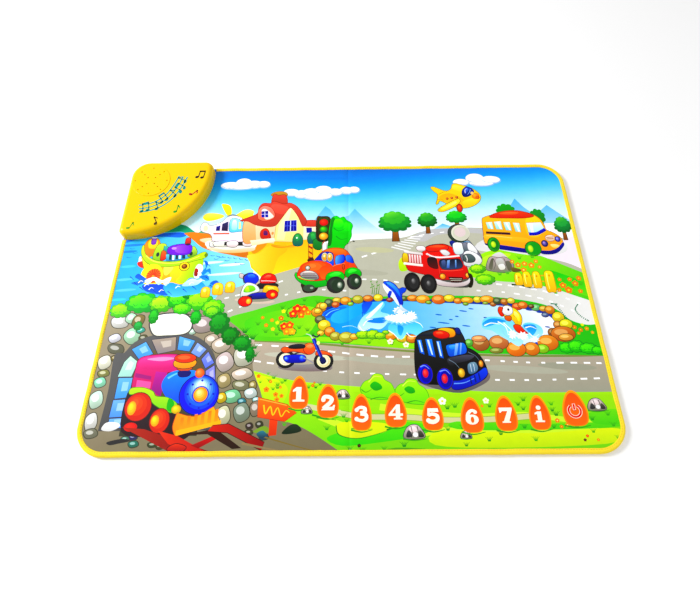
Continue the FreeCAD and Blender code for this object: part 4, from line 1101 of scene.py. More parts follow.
# %% Lay the plane and the bus
BUS = (190, 90)
draw("""
C fd2>ec2/651 -53,100 -49,102 -41,98 -34,94 -26,93 -20,97 -17,106 -11,108 0,104 14,98 23,90 27,81 24,71
 15,63 2,58 -12,59 -28,66 -40,73 -44,67 -47,67 -44,77 -43,86 -48,92
c fe5>fd2 -16,104 -8,104 8,98 16,92 6,88 -8,92 -18,98
c fb2>fc2 -40,82 -24,88 -4,78 0,66 -18,64 -38,74
c fe4>fc2 -4,70 14,78 22,76 16,66 4,61
s b72 1,0.5 -41,86 -34,90 -26,92
s a71 0.9,0.5 -46,74 -38,76 -34,72
C fe4>ec2/651 -45,53 -41,59 -30,66 -18,73 -9,76 -8,70 -16,62 -26,56 -38,51
c ff8>fe4 -40,57 -28,64 -16,71 -14,68 -26,60 -36,55
b e82>fb3 19,82 6.4,6.8
b c51>e82 22,79 3.6,3.6
C 24b>126/114 -1,82 -2,91 2,98 7,101 13,98 17,92 12,85 5,81
c 58e>24b 1,94 6,99 9,96 6,90 3,87
s 8bf 1.2,0.5 12,96 10,90 6,85
s fff 1,0.4 3,88 3,94 6,98
o ec8 14,88 2.6,3.2
B c31>f73 -9.6,58 4.2,7.8
o 841 -28,77 2.4,2.4
o 841 -20.4,78.4 2.4,2.4
o 841 -12,79.8 2.6,2.6
o f85 -28.4,77.4 1.2,1.2
o f85 -20.8,78.8 1.2,1.2
o f85 -12.4,80.2 1.3,1.3
c eee>ddd 24,-12 50,-24 100,-34 140,-30 150,-18 140,-10
C fc2>fa2/841 24,34 28,39 40,43 66,49 90,49 106,43 116,34 121,22 122,14 132,8 141,0 144,-10 138,-20 126,-26
 110,-26 86,-24 60,-20 42,-15 24,-11 23,10
c fd2>fc2 96,38 110,38 117,26 115,8 106,0 94,2 90,18
c fc4>fb2 26,6 60,2 90,-2 90,-10 56,-6 26,-2
C e52>d31/821 37,39 48,47 68,51 88,50 107,41 94,37 68,37
c f84>e52 52,46 68,49 84,47 72,43
P dfe>9dd/c82 29,29 39,30 40,16 31,17
P dfe>9dd/c82 42,30 53,31 54,15 44,16
P dfe>9dd/c82 57,29 67,29 68,13 59,14
P dfe>9dd/c82 72,28 82,27 82,10 74,11
p fff 33,29 36,29 39,17 36,17
p fff 46,30 50,30 53,16 50,16
p fff 60,28 63,28 67,14 64,14
p fff 75,27 78,27 81,11 78,11
p 422>312 27,12 65,9 65,4.6 27,7.6
s fd7 1 27,4 46,2 66,-1
P eff>bee/c82 93,27 116,28 120,16 110,10 94,8
p fff 98,27 103,27 102,9 98,9
s 22c 6,5.4 94,6 107,7 121,15
s 119 2 95,4 108,5 122,13
C fed>db9/a52 120,2 130,3 133,-4 126,-8 119,-5
p a52 120,0 131,0.6 131.6,-0.6 120,-1.4
p a52 120,-3 131,-2.4 131,-3.6 120,-4.2
B 226>b9e 115.4,-12 4.6,5.6
B 33a>bbf 137,-4 3.8,4.6
c fea>fd5 124,-14 134,-14 138,-18 128,-20
p 119>117 44,-13 86,-21 85,-29 44,-22
c 119>117 107,-25 122,-25 134,-20 144,-10 145,-16 134,-28 122,-32 108,-31
p 226 22,-10 28,-11 28,-16 23,-13
B 292>4c4 36,-12.5 9,12.6
o 172 37.4,-12.6 6.4,9.8
b ad2>ef5 35.6,-12.4 3.8,5.8
B 292>4c4 96,-21 12,13
o 192 98,-21 9.4,10.6
b ad2>ef5 92,-21 4,6.4
""", BUS)

# %% Lay the rock, the fence and their flowers
bush(205, 15, 15, 9, "492", "7d2", "be3")
bush(196, 34, 12, 8, "492", "8d2", "ce3")
draw("""
c ddd>cbb 219,52 224,60 234,63 242,56 244,50 230,48
C baa>776/444 209,34 214,50 220,55 230,53 240,54 248,48 251,38 247,30 234,27 216,30
c 554>665 213,36 218,50 222,52 220,40 217,32
c ccc>aa9 226,50 234,52 238,44 232,36 226,40
c eee>ddc 228,40 236,42 238,34 230,32
c 665>554 240,46 247,46 248,34 242,30
s 444 1,0.5 222,52 224,42 220,32
s 444 1,0.5 238,52 240,42 237,32
c 762>542 247,36 256,34 262,31 258,28 248,28
""")
for x, y, r in listed("258,40,4.5 268,42,4.5 278,39,5 265,31,4.5 250,46,3.5 286,46,3.5 290,36,3"):
    flower(x, y, r, "e92", "fe7")
for x, y, r in listed("319,4,5 326,-4,5.5 338,7,5 312,-4,3.5 345,16,4 331,14,3.5 343,-6,3.5 316,14,3"):
    flower(x, y, r, "e82", "fd3")
for x, y in listed("306,8 322,10 333,0 346,4 310,20 262,50 282,52 228,22 240,24 306,-10"):
    tuft(x, y, 7, "5b2")
draw("""
s db2 2.4 252,20 275,20 308,22
s db2 2 252,12 275,12 306,10
s 241 3,1 243,6 256,5 270,2
s 241 2,0.6 258,4 272,0 280,2
""")
for x, low, high, h in ((255, 7, 26, 5.4), (267.5, 4, 28, 5.6), (282, 2, 28, 5.6), (301, -5, 29, 6.6)):
    draw(f"""
C fe2>eb1/a81 {-h},{low} {-h},{high - 7} {-h * 0.6},{high - 1} 0,{high} {h * 0.6},{high - 1} {h},{high - 7}
 {h},{low} 0,{low - 1.6}
s ff8 1.6,0.8 {-h * 0.4},{high - 4} {-h * 0.5},{(low + high) / 2} {-h * 0.4},{low + 3}
o d91 0.6,{high - 8} 1.3,2
""", (x, 0))
for x, y, across, up in ((305, -95, 11, 8), (319, -93, 12, 9), (335, -96, 13, 8), (347, -99, 8, 6)):
    bush(x, y, across, up, "2a1", "4d2", "6e2")
for x, y, r, ink in listed("""
322,-64,3,#e72 330,-68,3.4,#c72 339,-66,3,#e92 334,-60,2.4,#de3 346,-72,2.4,#ea2 312,-62,2.4,#bd3
326,-73,2.4,#d82
"""):
    flower(x, y, r, ink)
for path in ("302,-28 308,-38 314,-50", "334,-28 329,-36 334,-46 344,-54", "296,-26 304,-27"):
    for place in smooth(listed(path), closed=False, steps=5):
        lay(oval(*place, 1.5, 0.8, 40), "175")
print(len(prints), "shapes so far")

# %% [markdown]
# ## The pond
# The pond runs from deep blue at the left to white at the right. Its stones are one list of places, sizes
# and inks. A leaping dolphin and a duck throw up splashes, which are spiky white shapes with a blue one
# underneath.

# %% Lay the water and its stones
draw("""
c 139>25c -46,-40 -34,-24 0,-18 60,-15 140,-18 210,-23 262,-29 300,-44 304,-62 292,-80 240,-94 170,-86
 110,-78 60,-72 10,-76 -22,-72 -42,-58
c 19e>fff@1,0.05 -40,-42 -30,-32 -2,-24 60,-19 140,-23 205,-27 250,-33 286,-44 296,-58 290,-76 240,-90
 170,-82 110,-74 60,-70 10,-74 -18,-68 -36,-56
c 16e>28e@1,-0.5 -38,-40 -30,-33 -10,-27 -4,-30 -20,-38 -30,-46
c 4bf>2af@1,-0.3 -20,-36 20,-24 30,-30 10,-44 -10,-54 -26,-50
c 15d>27e 20,-22 34,-20 30,-30 22,-40 19,-32
s 8df 1.4,0.5 -34,-42 -26,-35 -14,-31
s 15c 1.2,0.5 19,-36 20,-44 20,-52
s bef 1,0.4 -10,-60 2,-58 12,-62
""")
for x, y, long in listed("""
130,-42,5 136,-55,9 156,-45,3 166,-36.5,6 198,-47.6,4 228,-56,6 262,-36,5 284,-63,4 147,-50,3 178,-33,4
252,-33,6 276,-40,4 120,-62,5 168,-60,6
"""):
    lay(oval(x, y, long, 1.1, -8), "27c" if x < 180 else "35a")
STONES = """
-18,-17,6.5,4.6,#db3 -5,-18,8,6.4,#e92 13,-16,8,6.6,#aa2 28,-14.4,7.4,5,#d72 43,-13.4,6.8,5.8,#ed2
60,-17,5,3.6,#823 81,-15,5,4,#352 94,-14.6,8,5,#e82 109,-16.6,10,6.6,#fa2 132,-17.5,10,7.4,#e72
117,-22,4.4,2.6,#6a2 148,-15.6,8,5.8,#ed2 160,-20,6,4.6,#e82 174,-19,9,5,#fb2 171,-25,4,2.4,#6a2
189,-18,6,5,#ed3 203,-18,10,6,#fa2 200,-24,4,2.2,#7a3 211,-26,4.4,3.6,#a52 218,-21,6,5.4,#243
228,-22,5.4,5,#b62 238,-20.6,5.4,4.6,#ed4 246,-30,7.6,5.6,#e52 254,-28,7,5.6,#e72 -30,-21,6.4,6.4,#243
-20,-24,5.6,4.8,#c52 -41,-28,7.6,7.6,#ea2 -38,-26,5.4,5,#fd4 -47,-36,8,7.4,#e92 -46,-34,5,4,#fd4
2,-23,4.4,3,#7c3 -42,-48,7.6,6.4,#343 -36,-57,9,8.4,#ed2 -28,-67,7.4,7.4,#e82 -41,-69,5,4,#ec3
-20,-74,7.4,6.4,#aa3 -4,-76,10.6,8,#bb3 7,-75,6,4.6,#eb3 46,-73,4,3,#642 59,-73,9,7.4,#fa2 76,-78,9,6,#ed3
89,-79,8,6.4,#e82 272,-32,7,5,#5c8 283,-34,6,4.4,#da3 292,-36,7,6.4,#d82 284,-44,5,3.4,#35a
302,-48,8.4,8.4,#ed2 299,-60,6,6,#c73 311,-59,9,7.6,#ee2 290,-72,7,7,#842 304,-74,17,11.4,#c62
307,-79,10,5,#ea4 280,-87,14.4,11.4,#e82 271,-96,8.4,6.4,#8d2 256,-96,10.4,9.6,#e82 234,-96,13.4,10.8,#f82
211,-86,13.4,10.4,#c74 206,-98,9,4,#783 185,-87,12.4,11,#a63 184,-80,10.4,4.6,#e96 169,-86,5.4,5.4,#4b4
266,-30,4,3,#532
"""
for x, y, across, up, ink in listed(STONES):
    lit, shaded = blend_ink(ink, "fe8", 0.25), blend_ink(ink, "521", 0.28)
    figure(oval(x, y, across, up), lit, shaded, (0.3, -1), "431", 0.8)
    lay(oval(x - across * 0.16, y + up * 0.24, across * 0.56, up * 0.42), blend_ink(ink, "ffb", 0.45))
for x, y, across, up in ((52, -69, 5, 3), (20, -72, 11, 6), (34, -72, 10, 7), (44, -74, 8, 5)):
    bush(x, y, across, up, "6a2", "9d2", "ce3")
draw("""
s 583 1.4,0.4 34,-8 35,2 33,15
s 583 1.4,0.4 40,-8 42,4 42,17
s 583 1.4,0.4 37,-8 38,0 37,8
s 583 1.4,0.4 43,-8 45,2 45,10
""")
for x, y in listed("33,4 35,9 33,14 41,2 43,7 42,13 37,6 45,8"):
    lay(oval(x, y, 2, 0.9, 35), "694")


def splash(x, y, across, up, spikes, seed, ink="fff"):
    """A spiky burst of water."""
    chance = random.Random(seed)
    points = []
    for i in range(spikes * 2):
        angle = math.pi * i / spikes
        reach = 1 if i % 2 else 0.5 + 0.2 * chance.random()
        points.append(Vector((x + across * reach * math.cos(angle), y + up * reach * math.sin(angle))))
    lay(points, ink)


draw("""
c 7df>cef 12,-60 20,-44 34,-34 44,-24 50,-20 52,-26 46,-36 60,-42 54,-56 44,-64 30,-62 18,-66
c eff 24,-46 34,-36 44,-25 50,-21 47,-28 38,-38 30,-46
c 29e>28e 24,-50 40,-46 54,-46 50,-54 34,-54
c 5cf>9ef 60,-56 76,-60 96,-54 106,-60 98,-74 84,-70 74,-80 64,-72 56,-64
c 29e>4be 70,-58 78,-62 74,-74 70,-70
s fff 1.8,0.6 20,-58 26,-50 34,-48
s fff 1.6,0.5 14,-58 20,-66 30,-62
s fff 1.6,0.5 30,-40 38,-32 46,-24
s fff 1.6,0.6 56,-66 64,-72 70,-80
s fff 1.6,0.6 82,-70 88,-76 98,-74
s fff 1.4,0.5 94,-52 102,-56 106,-62
""")
splash(74, -49, 27, 9, 19, 1, "9df")
splash(76, -47, 25, 8.4, 21, 2)
splash(90, -43, 9, 8, 11, 3)
splash(60, -46, 10, 5, 11, 4)
splash(73, -35, 10, 7, 9, 5)
POND = (150, -80)
draw("""
C 26e>13b/126 -98,92 -94,94 -88,93 -81,88 -76,81 -70,83 -65,81 -67,76 -71,73 -72,66 -71,58 -74,53 -78,58
 -82,68 -88,76 -94,82
c 5af>27e -94,92 -88,92 -81,86 -76,78 -74,68 -77,72 -82,80 -88,86
c fff>def -99,91 -96,88 -90,82 -84,75 -80,66 -77,58 -76,53 -80,56 -86,66 -92,72 -97,80 -99,86
c 25d>12a -90,78 -86,76 -90,66 -93,70
c eef>ace -84,40 -81,47 -76,51 -74,55 -71,50 -64,44 -72,44 -76,47 -80,43
o 124 -94,89.6 1,1
c 7df>bef 40,18 44,30 56,34 72,32 86,26 90,16 86,4 96,-4 88,-12 76,-4 64,4 54,12 46,14
c 29e>5be 42,24 54,31 68,30 76,26 64,24 54,20 44,18
s fff 2,0.8 44,20 54,24 66,22
s fff 1.8,0.6 64,26 74,18 76,6
s fff 1.6,0.6 72,24 82,12 90,0
s 9df 1.6,0.6 68,14 72,4 84,-4
c 7df>cef 100,22 112,24 124,18 126,8 118,0 110,-6 102,2 96,10
c 29e>4be 100,20 114,21 118,14 110,4 104,12
s fff 1.8,0.6 102,16 110,18 118,14
s fff 1.6,0.5 106,8 112,2 120,6
C fe2>eb2/861 76,50 82,52 88,48 94,44 99,34 97,22 91,18 86,28 78,32 72,38 72,46
C fff>ddd/888 74,48 80,51 87,48 87,40 80,36 73,40
C e52>d32/721 74,48 69,49 67,42 70,35 74,36 72,42
o 224 82,45 1.7,2.2
c ff9>fe2 90,42 96,36 95,26 90,32
s c81 1,0.4 88,36 92,30 91,22
C e52>d31/721 86,20 94,20 100,12 104,7 96,6 88,12
C e72>c52/731 76,34 84,34 82,27 76,29
""", POND)
splash(246, -76, 9, 7, 9, 6)
splash(262, -82, 8, 5, 9, 7)
splash(232, -74, 7, 8, 9, 8)

# %% Lay the motorbike and the flowers behind it
for x, y, across, up in ((-82, -36, 10, 9), (-70, -30, 8, 7), (-93, -58, 10, 9), (-84, -66, 8, 6)):
    bush(x, y, across, up, "482", "7c2", "ad3")
for x, y, r, ink in listed("""
-76,-30,7,#e42 -66,-31,6,#e62 -82,-38,6,#e42 -70,-40,5.5,#e72 -60,-36,5,#e82 -94,-58,6,#e42 -86,-56,6,#e62
-90,-66,5.5,#e92 -99,-45,4,#e72 -82,-66,5,#fb2 -104,-52,3,#de3 -112,-48,3,#e92 -120,-56,3,#e82
-110,-62,3,#ec3 -126,-44,2.6,#e82 -96,-34,3,#fe3
"""):
    flower(x, y, r, ink)
for x, y in listed("""
-104,-72 -120,-68 -132,-56 -72,-62 -60,-66 -52,-72 -66,-18 -98,-30 -46,-22 60,-88 28,-86 -10,-88 100,-94
140,-100
"""):
    tuft(x, y, 6, "492")
for x, y in ((58, -83), (80, -88), (104, -97)):
    flower(x, y, 4.2, "fed", "ed3")
MOTORBIKE = (-90, -110)
draw("""
c 888>766 -6,-12 30,-16 64,-14 60,-4 24,-6 -4,-4
O 222>111/000 1,2 13,12.4
o eec 1,2 9.6,9
o dcb 2,1.4 8,7.4
o eed 1,2.4 7,6.4
O 222>111/000 54,-1 13,12.8
o eeb 54,-1 9.6,9.4
o dc9 54.6,-1.8 8,7.8
o eec 53.6,-0.6 7,6.8
s 334 2.4 6,6 20,12 36,10
C e73>d52/721 -6,16 -2,20 10,19 24,19 32,24 40,24 41,17 33,9 22,12 10,14 0,12
C f84>e52/721 26,22 34,26 41,22 41,14 34,9 27,13
c fa7>f84 29,21 35,24 39,21 34,18
C 223>111/000 6,22 16,24 26,23 26,19 14,18 5,19
C e73>d52/721 45,14 52,14 61,11 66,6 60,8 50,9 43,8
C 23d>119/004 -2,6 8,8 24,8 29,4 27,-2 14,-3 2,-2
b 24e>7bf 24,4 4.6,4.4
b 24e>9cf 2,3 3.6,3.4
s 889 1.6,1.2 26,4 34,0 40,-4
s 228 6,4.6 39,33 44,20 52,2
s 46e 1.8,0.8 39,31 44,18 50,4
C 126>114/002 49,2 54,4 57,-2 52,-5
s 223 2.6,2 37,38 44,35 48,39
o ee9 46,26 2.4,3
s ccc 1.6,1 38,32 34,38 28,40
""", MOTORBIKE)

# %% Lay the taxi
TAXI = (100, -150)
draw("""
c 766>555 -8,10 10,0 50,-8 86,6 92,18 80,20 20,12
C 222>000/000 -9,38 -8,54 -6,70 2,79 16,84 34,87 50,87 58,82 63,70 65,58 74,52 82,44 88,30 88,16 78,8 64,2
 50,-2 36,2 20,4 0,6 -8,16
c 344>112 -2,76 16,81 34,84 32,78 12,75
C 239>125/002 52,86 57,86 59,78 53,78
C ec2>e82/631 27,84 36,87 48,85 51,78 46,73 30,74
C e42>c21/610 21,81 31,83 41,79 41,73 30,71 21,75
c f85>e42 24,80 31,81 34,78 26,77
P 28e>26d/123 -4,69 2,69 5,47 -1,50
P 28e>26d/123 8,70 17,70 20,43 11,46
P 28e>26d/123 23,67 29,67 31,41 26,43
p cef -2,68 0,68 3,51 1,51
p cef 10,69 13,69 17,46 15,47
p cef 24,66 26,66 29,44 27,45
C 28e>25c/002 37,60 46,62 60,64 64,58 63,49 52,46 40,44 37,52
c 6bf>28e 40,59 48,61 52,58 44,54
p acf>59e 50,63 54,63 50,46 46,45
p acf>59e 57,64 58.6,63 56,47 54,47
c 445>111 36,40 50,44 64,46 74,44 66,38 50,34 40,30
s 678 1.2,0.4 38,39 46,34 52,26
s 567 1.2,0.4 66,50 76,44 82,34
C 79a>468/112 64,32 74,35 77,26 72,20 64,19
s cde 1,0.6 67,32 67.6,26 68,21
s cde 1,0.6 71,33 72,28 72,22
C 25e>12a/004 38,8 50,9 64,14 76,20 87,27 89,18 80,9 66,2 50,-3 40,-2
s 7af 1.6,0.6 42,5 56,6 70,12
p 127 64,13 66,14 67,4 65,4
p 127 70,16 72,17 73,7 71,6
p 127 76,19 78,20 79,10 77,9
B c92>fe6 53.6,20 4.6,6.4
B c72>fd6 82,33 3,5
B 11c>34f 4,19 10,14
o 119 5,18 7.4,11
b c23>f66 4.4,20 4,6.4
B 11c>34f 30.4,12 10.6,14.6
o 119 31.4,11 8,11.6
b c23>f66 30,12 4.2,6.8
s 8af 1.6,0.6 24,22 32,24 38,18
s 8af 1.6,0.6 -2,29 4,31 10,26
""", TAXI)
print(len(prints), "shapes so far")

# %% [markdown]
# ## The front lawn and its numbered eggs
# The touch keys at the front are eggs with bold numerals, one to seven, then a one with a dot over it for
# the higher octave, and an on-and-off sign for the mode key. Each numeral is drawn once, about its own
# middle, in a box 20 mm high, and `draw` moves it to its egg.

# %% Lay the lawn's path, bushes and rocks
LAWN = (-20, -230)
draw("""
s cc9 6,8 -46,58 -20,52 8,46
s cc9 7 6,46 40,41 96,40 143,36 200,36 258,40
s 8a3 0.8 8,50 40,45 96,44 143,40 200,40 258,44
s 8a3 0.8 6,42 40,37 96,36 143,32 200,32 258,36
c 6d2>4c2 80,34 130,28 110,16 60,8 10,4 -10,14 20,24
c 7d2>5c2 160,34 250,30 360,32 376,40 376,26 250,22 160,24
c 7d2>5c2 336,44 376,48 376,30 340,30
c de1>bd2 140,22 260,18 360,24 372,16 350,4 220,0 130,4
c de1>cd1 3,31 20,35 50,34 70,31 70,23 50,17 26,13 6,18
s 382 1.4,0.5 2,30 6,18 28,13 54,18 72,24
s 392 2.4,0.8 -30,44 -14,40 2,37
s 382 2,0.6 68,24 86,28 94,34
s 492 1.4,0.5 22,26 34,24 50,25
s 592 3,2 -40,-6 40,-8 80,0 140,-4
s 763 2,1 -92,16 -50,4 -10,-6
s 875 3,1 -120,8 -70,-2 -30,-8
c 232>121 -69,20 -60,30 -50,32 -43,24 -54,20
c 378>234 -102,20 -94,24 -88,18 -96,14
C be2>7d2/5a2 35,78 40,88 48,92 54,99 64,98 68,91 76,86 80,78 82,68 64,64 42,68
C ae2>7d2/5a2 82,76 88,84 94,86 100,92 110,91 114,84 122,78 126,68 124,58 104,58 86,64
c 3b2>292 48,84 54,89 62,85 64,79 56,76 50,79
c 3b2>292 94,78 100,82 107,79 108,73 100,72
s 492 1.6,0.5 36,78 42,74 50,78
s 492 1.6,0.5 48,64 60,67 74,65
s 492 1.6,0.5 80,72 88,69 94,73
s 492 1.6,0.5 96,59 108,62 120,59
s df6 1.6,0.5 46,88 54,96 64,95
s df6 1.6,0.5 92,82 100,89 110,88
""", LAWN)
ROCK = """
C dcc>776/333 -10,-5 -8,3 -3,7 3,7 7,3 10,-4 2,-6
c fee>dcc -5,4 0,6 3,2 -2,0
c 444>222 -8,-4 -6,2 -3,0 -3,-4
c 554>222 4,-4 5,2 8,0 9,-4
o eee 1,-2 2.6,2.4
s 222 0.8,0.4 -3,6 -2,0 -3,-5
s 222 0.8,0.4 3,6 4,0 4,-5
s 492 1.6,0.5 -11,-6 0,-7.4 12,-6
"""
for x, y, size in listed("-9,-159,0.9 -57,-180,0.7 84,-210,1.35 151,-214,0.7 328,-176,1.2"):
    draw(ROCK, (x, y), size)
for x, y, r, petals, heart in listed("""
124,-169,5,#ffe,#ed3 182,-169,4,#ffd,#ed7 -50,-146,2.4,#e62,#fc3 -108,-140,2.4,#e82,#fd3
-94,-148,2,#e82,#fd3 207,-165,2.4,#e83,#fd3 272,-196,3,#e82,#fe7 284,-202,3,#e92,#fe7 307,-216,2,#e42,#fa3
320,-221,2,#e82,#fd3 276,-204,2.4,#e72,#fd3 303,-221,2,#522,#842 12,-226,2.4,#321,#642 176,-176,2,#e82,#fd3
-48,-142,1.6,#c62,#fc3
"""):
    flower(x, y, r, petals, heart)
chance = random.Random(7)
for x, y in listed("""
-104,-136 -98,-150 -88,-140 -46,-150 -40,-146 -56,-150 -30,-206 0,-232 16,-234 44,-232 90,-236 70,-228
128,-208 140,-178 148,-206 186,-178 196,-214 224,-176 230,-182 228,-206 268,-184 272,-190 266,-206 296,-206
340,-190 344,-204 318,-196 130,-180 232,-170 60,-196 100,-206 118,-206 -8,-190 -4,-196 316,-212 346,-220
180,-222 150,-228 240,-222 268,-176
"""):
    tuft(x, y, 5 + chance.random() * 2, chance.choice(("392", "4a2", "282")))

# %% Lay the eggs and their numerals
NUMERALS = {
    "1": """
p W -3,10 3.4,10 3.4,-7 8,-7.6 8,-10 -8,-10 -8,-7.6 -3.4,-7 -3.4,4.6 -8,3.4 -8,6
""",
    "2": """
s W 5,5.6 -6.6,4 -4.6,8 1.4,8 5.4,4.6 3,0 -2,-4.4 -6,-8
o W -6,4 3,3
p W -9,-10 8.6,-10 9.6,-3 7.6,-3 6,-5.4 -5,-5.4
""",
    "3": """
s W 3.4,6 -6.6,6 -1,9 4.8,7.4 4.4,3 -1,0.8
s W 5.4,4 -1,0.8 5.6,-0.6 6.8,-5.4 2,-8.6 -6,-7.4
o W -6,5.4 2.8,2.8
o W -6.2,-6.4 2.9,2.9
""",
    "4": """
p W 1.6,10 6,10 6,-2 9.6,-2 9.6,-5.2 6,-5.2 6,-7.6 8.6,-8 8.6,-10 -2.6,-10 -2.6,-8 0.2,-7.6 0.2,-5.2
 -9.4,-5.2 -9.4,-3
p E 0.2,4.6 0.2,-2 -4.8,-2
""",
    "5": """
p W -6,10 7.6,10 8.4,5.2 -3.2,5.2 -3.6,1 -6.8,0
s W 4,6 -5.6,0.6 0,2.4 6,0 6,-5.2 0.6,-8 -5.6,-6.8
o W -5.8,-6 3,3
""",
    "6": """
s W 5.4,3.4 -5.6,-3 -4.6,4 0,8.4 5.4,7.4
o W 5,6.4 2.6,2.6
o W 0.2,-3.4 8.6,6.6
o E 0.6,-3.6 2.4,4.2
""",
    "7": """
p W -8.4,10 -8,3.4 -6,3.4 -4.6,5.4 2.6,5.4 -3.6,-8 -5.4,-8 -5.4,-10 5.4,-10 5.4,-8 3.6,-8 8.8,7 8.8,10
""",
    "high": """
p W -2.4,4 2.8,4 2.8,-7.6 6,-8 6,-10 -6,-10 -6,-8 -2.8,-7.6 -2.8,0.6 -6,0 -6,2
o W 0,9 3.2,3
""",
    "mode": """
s R 2.6,2.6 0,9 0,4.4 0,0
""",
}
EGGS = (
    ("1", -68.5, -155, 13.5, 23), ("2", -29, -167, 15, 23), ("3", 15.5, -182.5, 14, 24.5),
    ("4", 61, -180, 15, 23), ("5", 109.5, -185.5, 14.5, 22), ("6", 161, -187.5, 15.5, 23.5),
    ("7", 206, -185.5, 15, 23.5), ("high", 250, -185, 14.5, 23), ("mode", 297.5, -179.5, 17, 24))
EGG_SIDE = listed("0.42,0.84 0.74,0.44 0.94,-0.02 0.98,-0.4 0.86,-0.78 0.5,-0.97")
EGG_SHAPE = [(0, 1), *EGG_SIDE, (0, -1), *[(-u, v) for u, v in reversed(EGG_SIDE)]]
for number, x, y, across, up in EGGS:
    edge = Vector((x, y))
    egg = smooth([edge + Vector((u * across, v * up)) for u, v in EGG_SHAPE])
    stroke([(x - across, y - up + 1), (x, y - up - 2), (x + across, y - up + 1)], 2.4, "492", 0.8)
    lay(egg, "fa2", "e82")
    lay([edge + Vector(((p.x - x) * 0.86, (p.y - y) * 0.9 - 1.2)) for p in egg], "f61", "e72")
    draw(f"o f72 {x - across * 0.1},{y - up * 0.3} {across * 0.62},{up * 0.5}")
    rows = NUMERALS[number]
    for white, red, shift in (("d52", "a21", (0.6, -3.8)), ("ffe>fed", "d22", (-0.2, -3))):
        draw(rows.replace("W", white).replace("E", "f72").replace("R", red), (x + shift[0], y + shift[1]))
    if number == "mode":
        for width, ink in ((4, "fdc"), (2.4, "d22")):
            arc = [Vector((x - 0.2, y - 4)) + polar(a, 8) for a in range(125, 416, 29)]
            stroke(arc, width, ink)
        draw("s fdc 4,4 0,8.6 0,4.4 0,0\ns d22 2.4,2.4 0,8 0,4.4 0,0.6", (x - 0.2, y - 3))
print(len(prints), "printed shapes in all")

# %% [markdown]
# ## From outlines to cloth
# The triangulation gets the cover's outline, every printed shape, a ring for each touch key and a loose
# grid of points, so that wide plain areas can still bend. For each triangle, the last shape laid over it
# gives its ink. The cloth is then lifted a little: padding swells between the seams, the fold leaves a
# crease, and the tape's sewing puckers the edge. The first lines of cut close to the fold let the cloth
# turn over tightly there.

# %% Helpers: the mat's outline, its lift and the triangulation
def mat_outline(inset):
    """The mat's rounded outline, drawn in from the edge."""
    reach, middle = CORNER - inset, Vector((HALF_LONG - CORNER, HALF_WIDE - CORNER))
    quarters = ((1, 1, 0), (-1, 1, 90), (-1, -1, 180), (1, -1, 270))
    return [middle * Vector((side, end)) + polar(first + 90 * step / 12, reach)
            for side, end, first in quarters for step in range(13)]


def box_corner(inset):
    """The corner that the sound box takes, as a shape that runs out past the mat's edges."""
    far = 20
    low, right, reach = box_low.y + inset, box_high.x - inset, ARC - inset
    outer_x, outer_y = -HALF_LONG - far, HALF_WIDE + far
    arc = [ARC_MIDDLE + polar(3 * step - 90, reach) for step in range(1, 30)]
    ends = [(right, ARC_MIDDLE.y), (right, outer_y), (outer_x, outer_y)]
    return [Vector((outer_x, low)), Vector((ARC_MIDDLE.x, low))] + arc + [Vector(p) for p in ends]


def settle():
    """Heights of a coarse cloth, cut a little too large and sewn down at its edges, the box and the fold."""
    columns, rows = 96, 64
    wide, deep = 2 * (HALF_LONG - 7), 2 * (HALF_WIDE - 7)
    grid = bmesh.new()
    bmesh.ops.create_grid(grid, x_segments=columns, y_segments=rows, size=0.5)
    bmesh.ops.scale(grid, verts=grid.verts, vec=(wide * MM, deep * MM, 1))
    for vert in grid.verts:
        vert.co.z = 0.0004 * noise.noise(vert.co * 25) + 0.0002
    mesh = bpy.data.meshes.new("rough_cloth")
    grid.to_mesh(mesh)
    rough = bpy.data.objects.new("rough_cloth", mesh)
    scene.collection.objects.link(rough)
    sewn = rough.vertex_groups.new(name="sewn")
    for vert in mesh.vertices:
        x, y = vert.co.xy / MM
        edge = min(wide / 2 - abs(x), deep / 2 - abs(y))
        if edge < 1 or abs(x) < 4 or (x < box_high.x + 3 and y > box_low.y - 3):
            sewn.add([vert.index], 1.0, "REPLACE")
    cloth = rough.modifiers.new("settle", "CLOTH")
    cloth.settings.quality = 4
    cloth.settings.vertex_group_mass = "sewn"
    cloth.settings.tension_stiffness = cloth.settings.compression_stiffness = 8
    cloth.settings.bending_stiffness = 0.02
    cloth.settings.shrink_min = cloth.settings.shrink_max = -0.006
    cloth.settings.effector_weights.gravity = 0
    cloth.settings.use_pressure = True
    cloth.settings.uniform_pressure_force = 0.6
    cloth.point_cache.frame_start, cloth.point_cache.frame_end = 1, 14
    for frame_number in range(1, 15):
        scene.frame_set(frame_number)
    settled = rough.evaluated_get(bpy.context.evaluated_depsgraph_get()).to_mesh()
    heights = [vert.co.z / MM for vert in settled.vertices]
    scene.frame_set(1)
    bpy.data.objects.remove(rough)
    low, high = min(heights), max(heights)
    print(f"settled cloth: {low:.2f} to {high:.2f} mm")
    mean, most = sum(heights) / len(heights), max(high, -low, 0.1)
    return [(height - mean) / most for height in heights], columns + 1, wide, deep


SETTLED = settle()


def settled_height(x, y):
    """The coarse cloth's height at a place, between its four nearest points, from about -1 to 1."""
    if SETTLED is None:
        return 0.5 * noise.noise(Vector((x / 75, y / 60, 0.3)))
    heights, across, wide, deep = SETTLED
    down = len(heights) // across
    u = min(max((x / wide + 0.5) * (across - 1), 0), across - 1.001)
    v = min(max((y / deep + 0.5) * (down - 1), 0), down - 1.001)
    i, j = int(u), int(v)
    s, t = u - i, v - j
    corner = [heights[(j + b) * across + i + a] for b in (0, 1) for a in (0, 1)]
    return (corner[0] * (1 - s) + corner[1] * s) * (1 - t) + (corner[2] * (1 - s) + corner[3] * s) * t


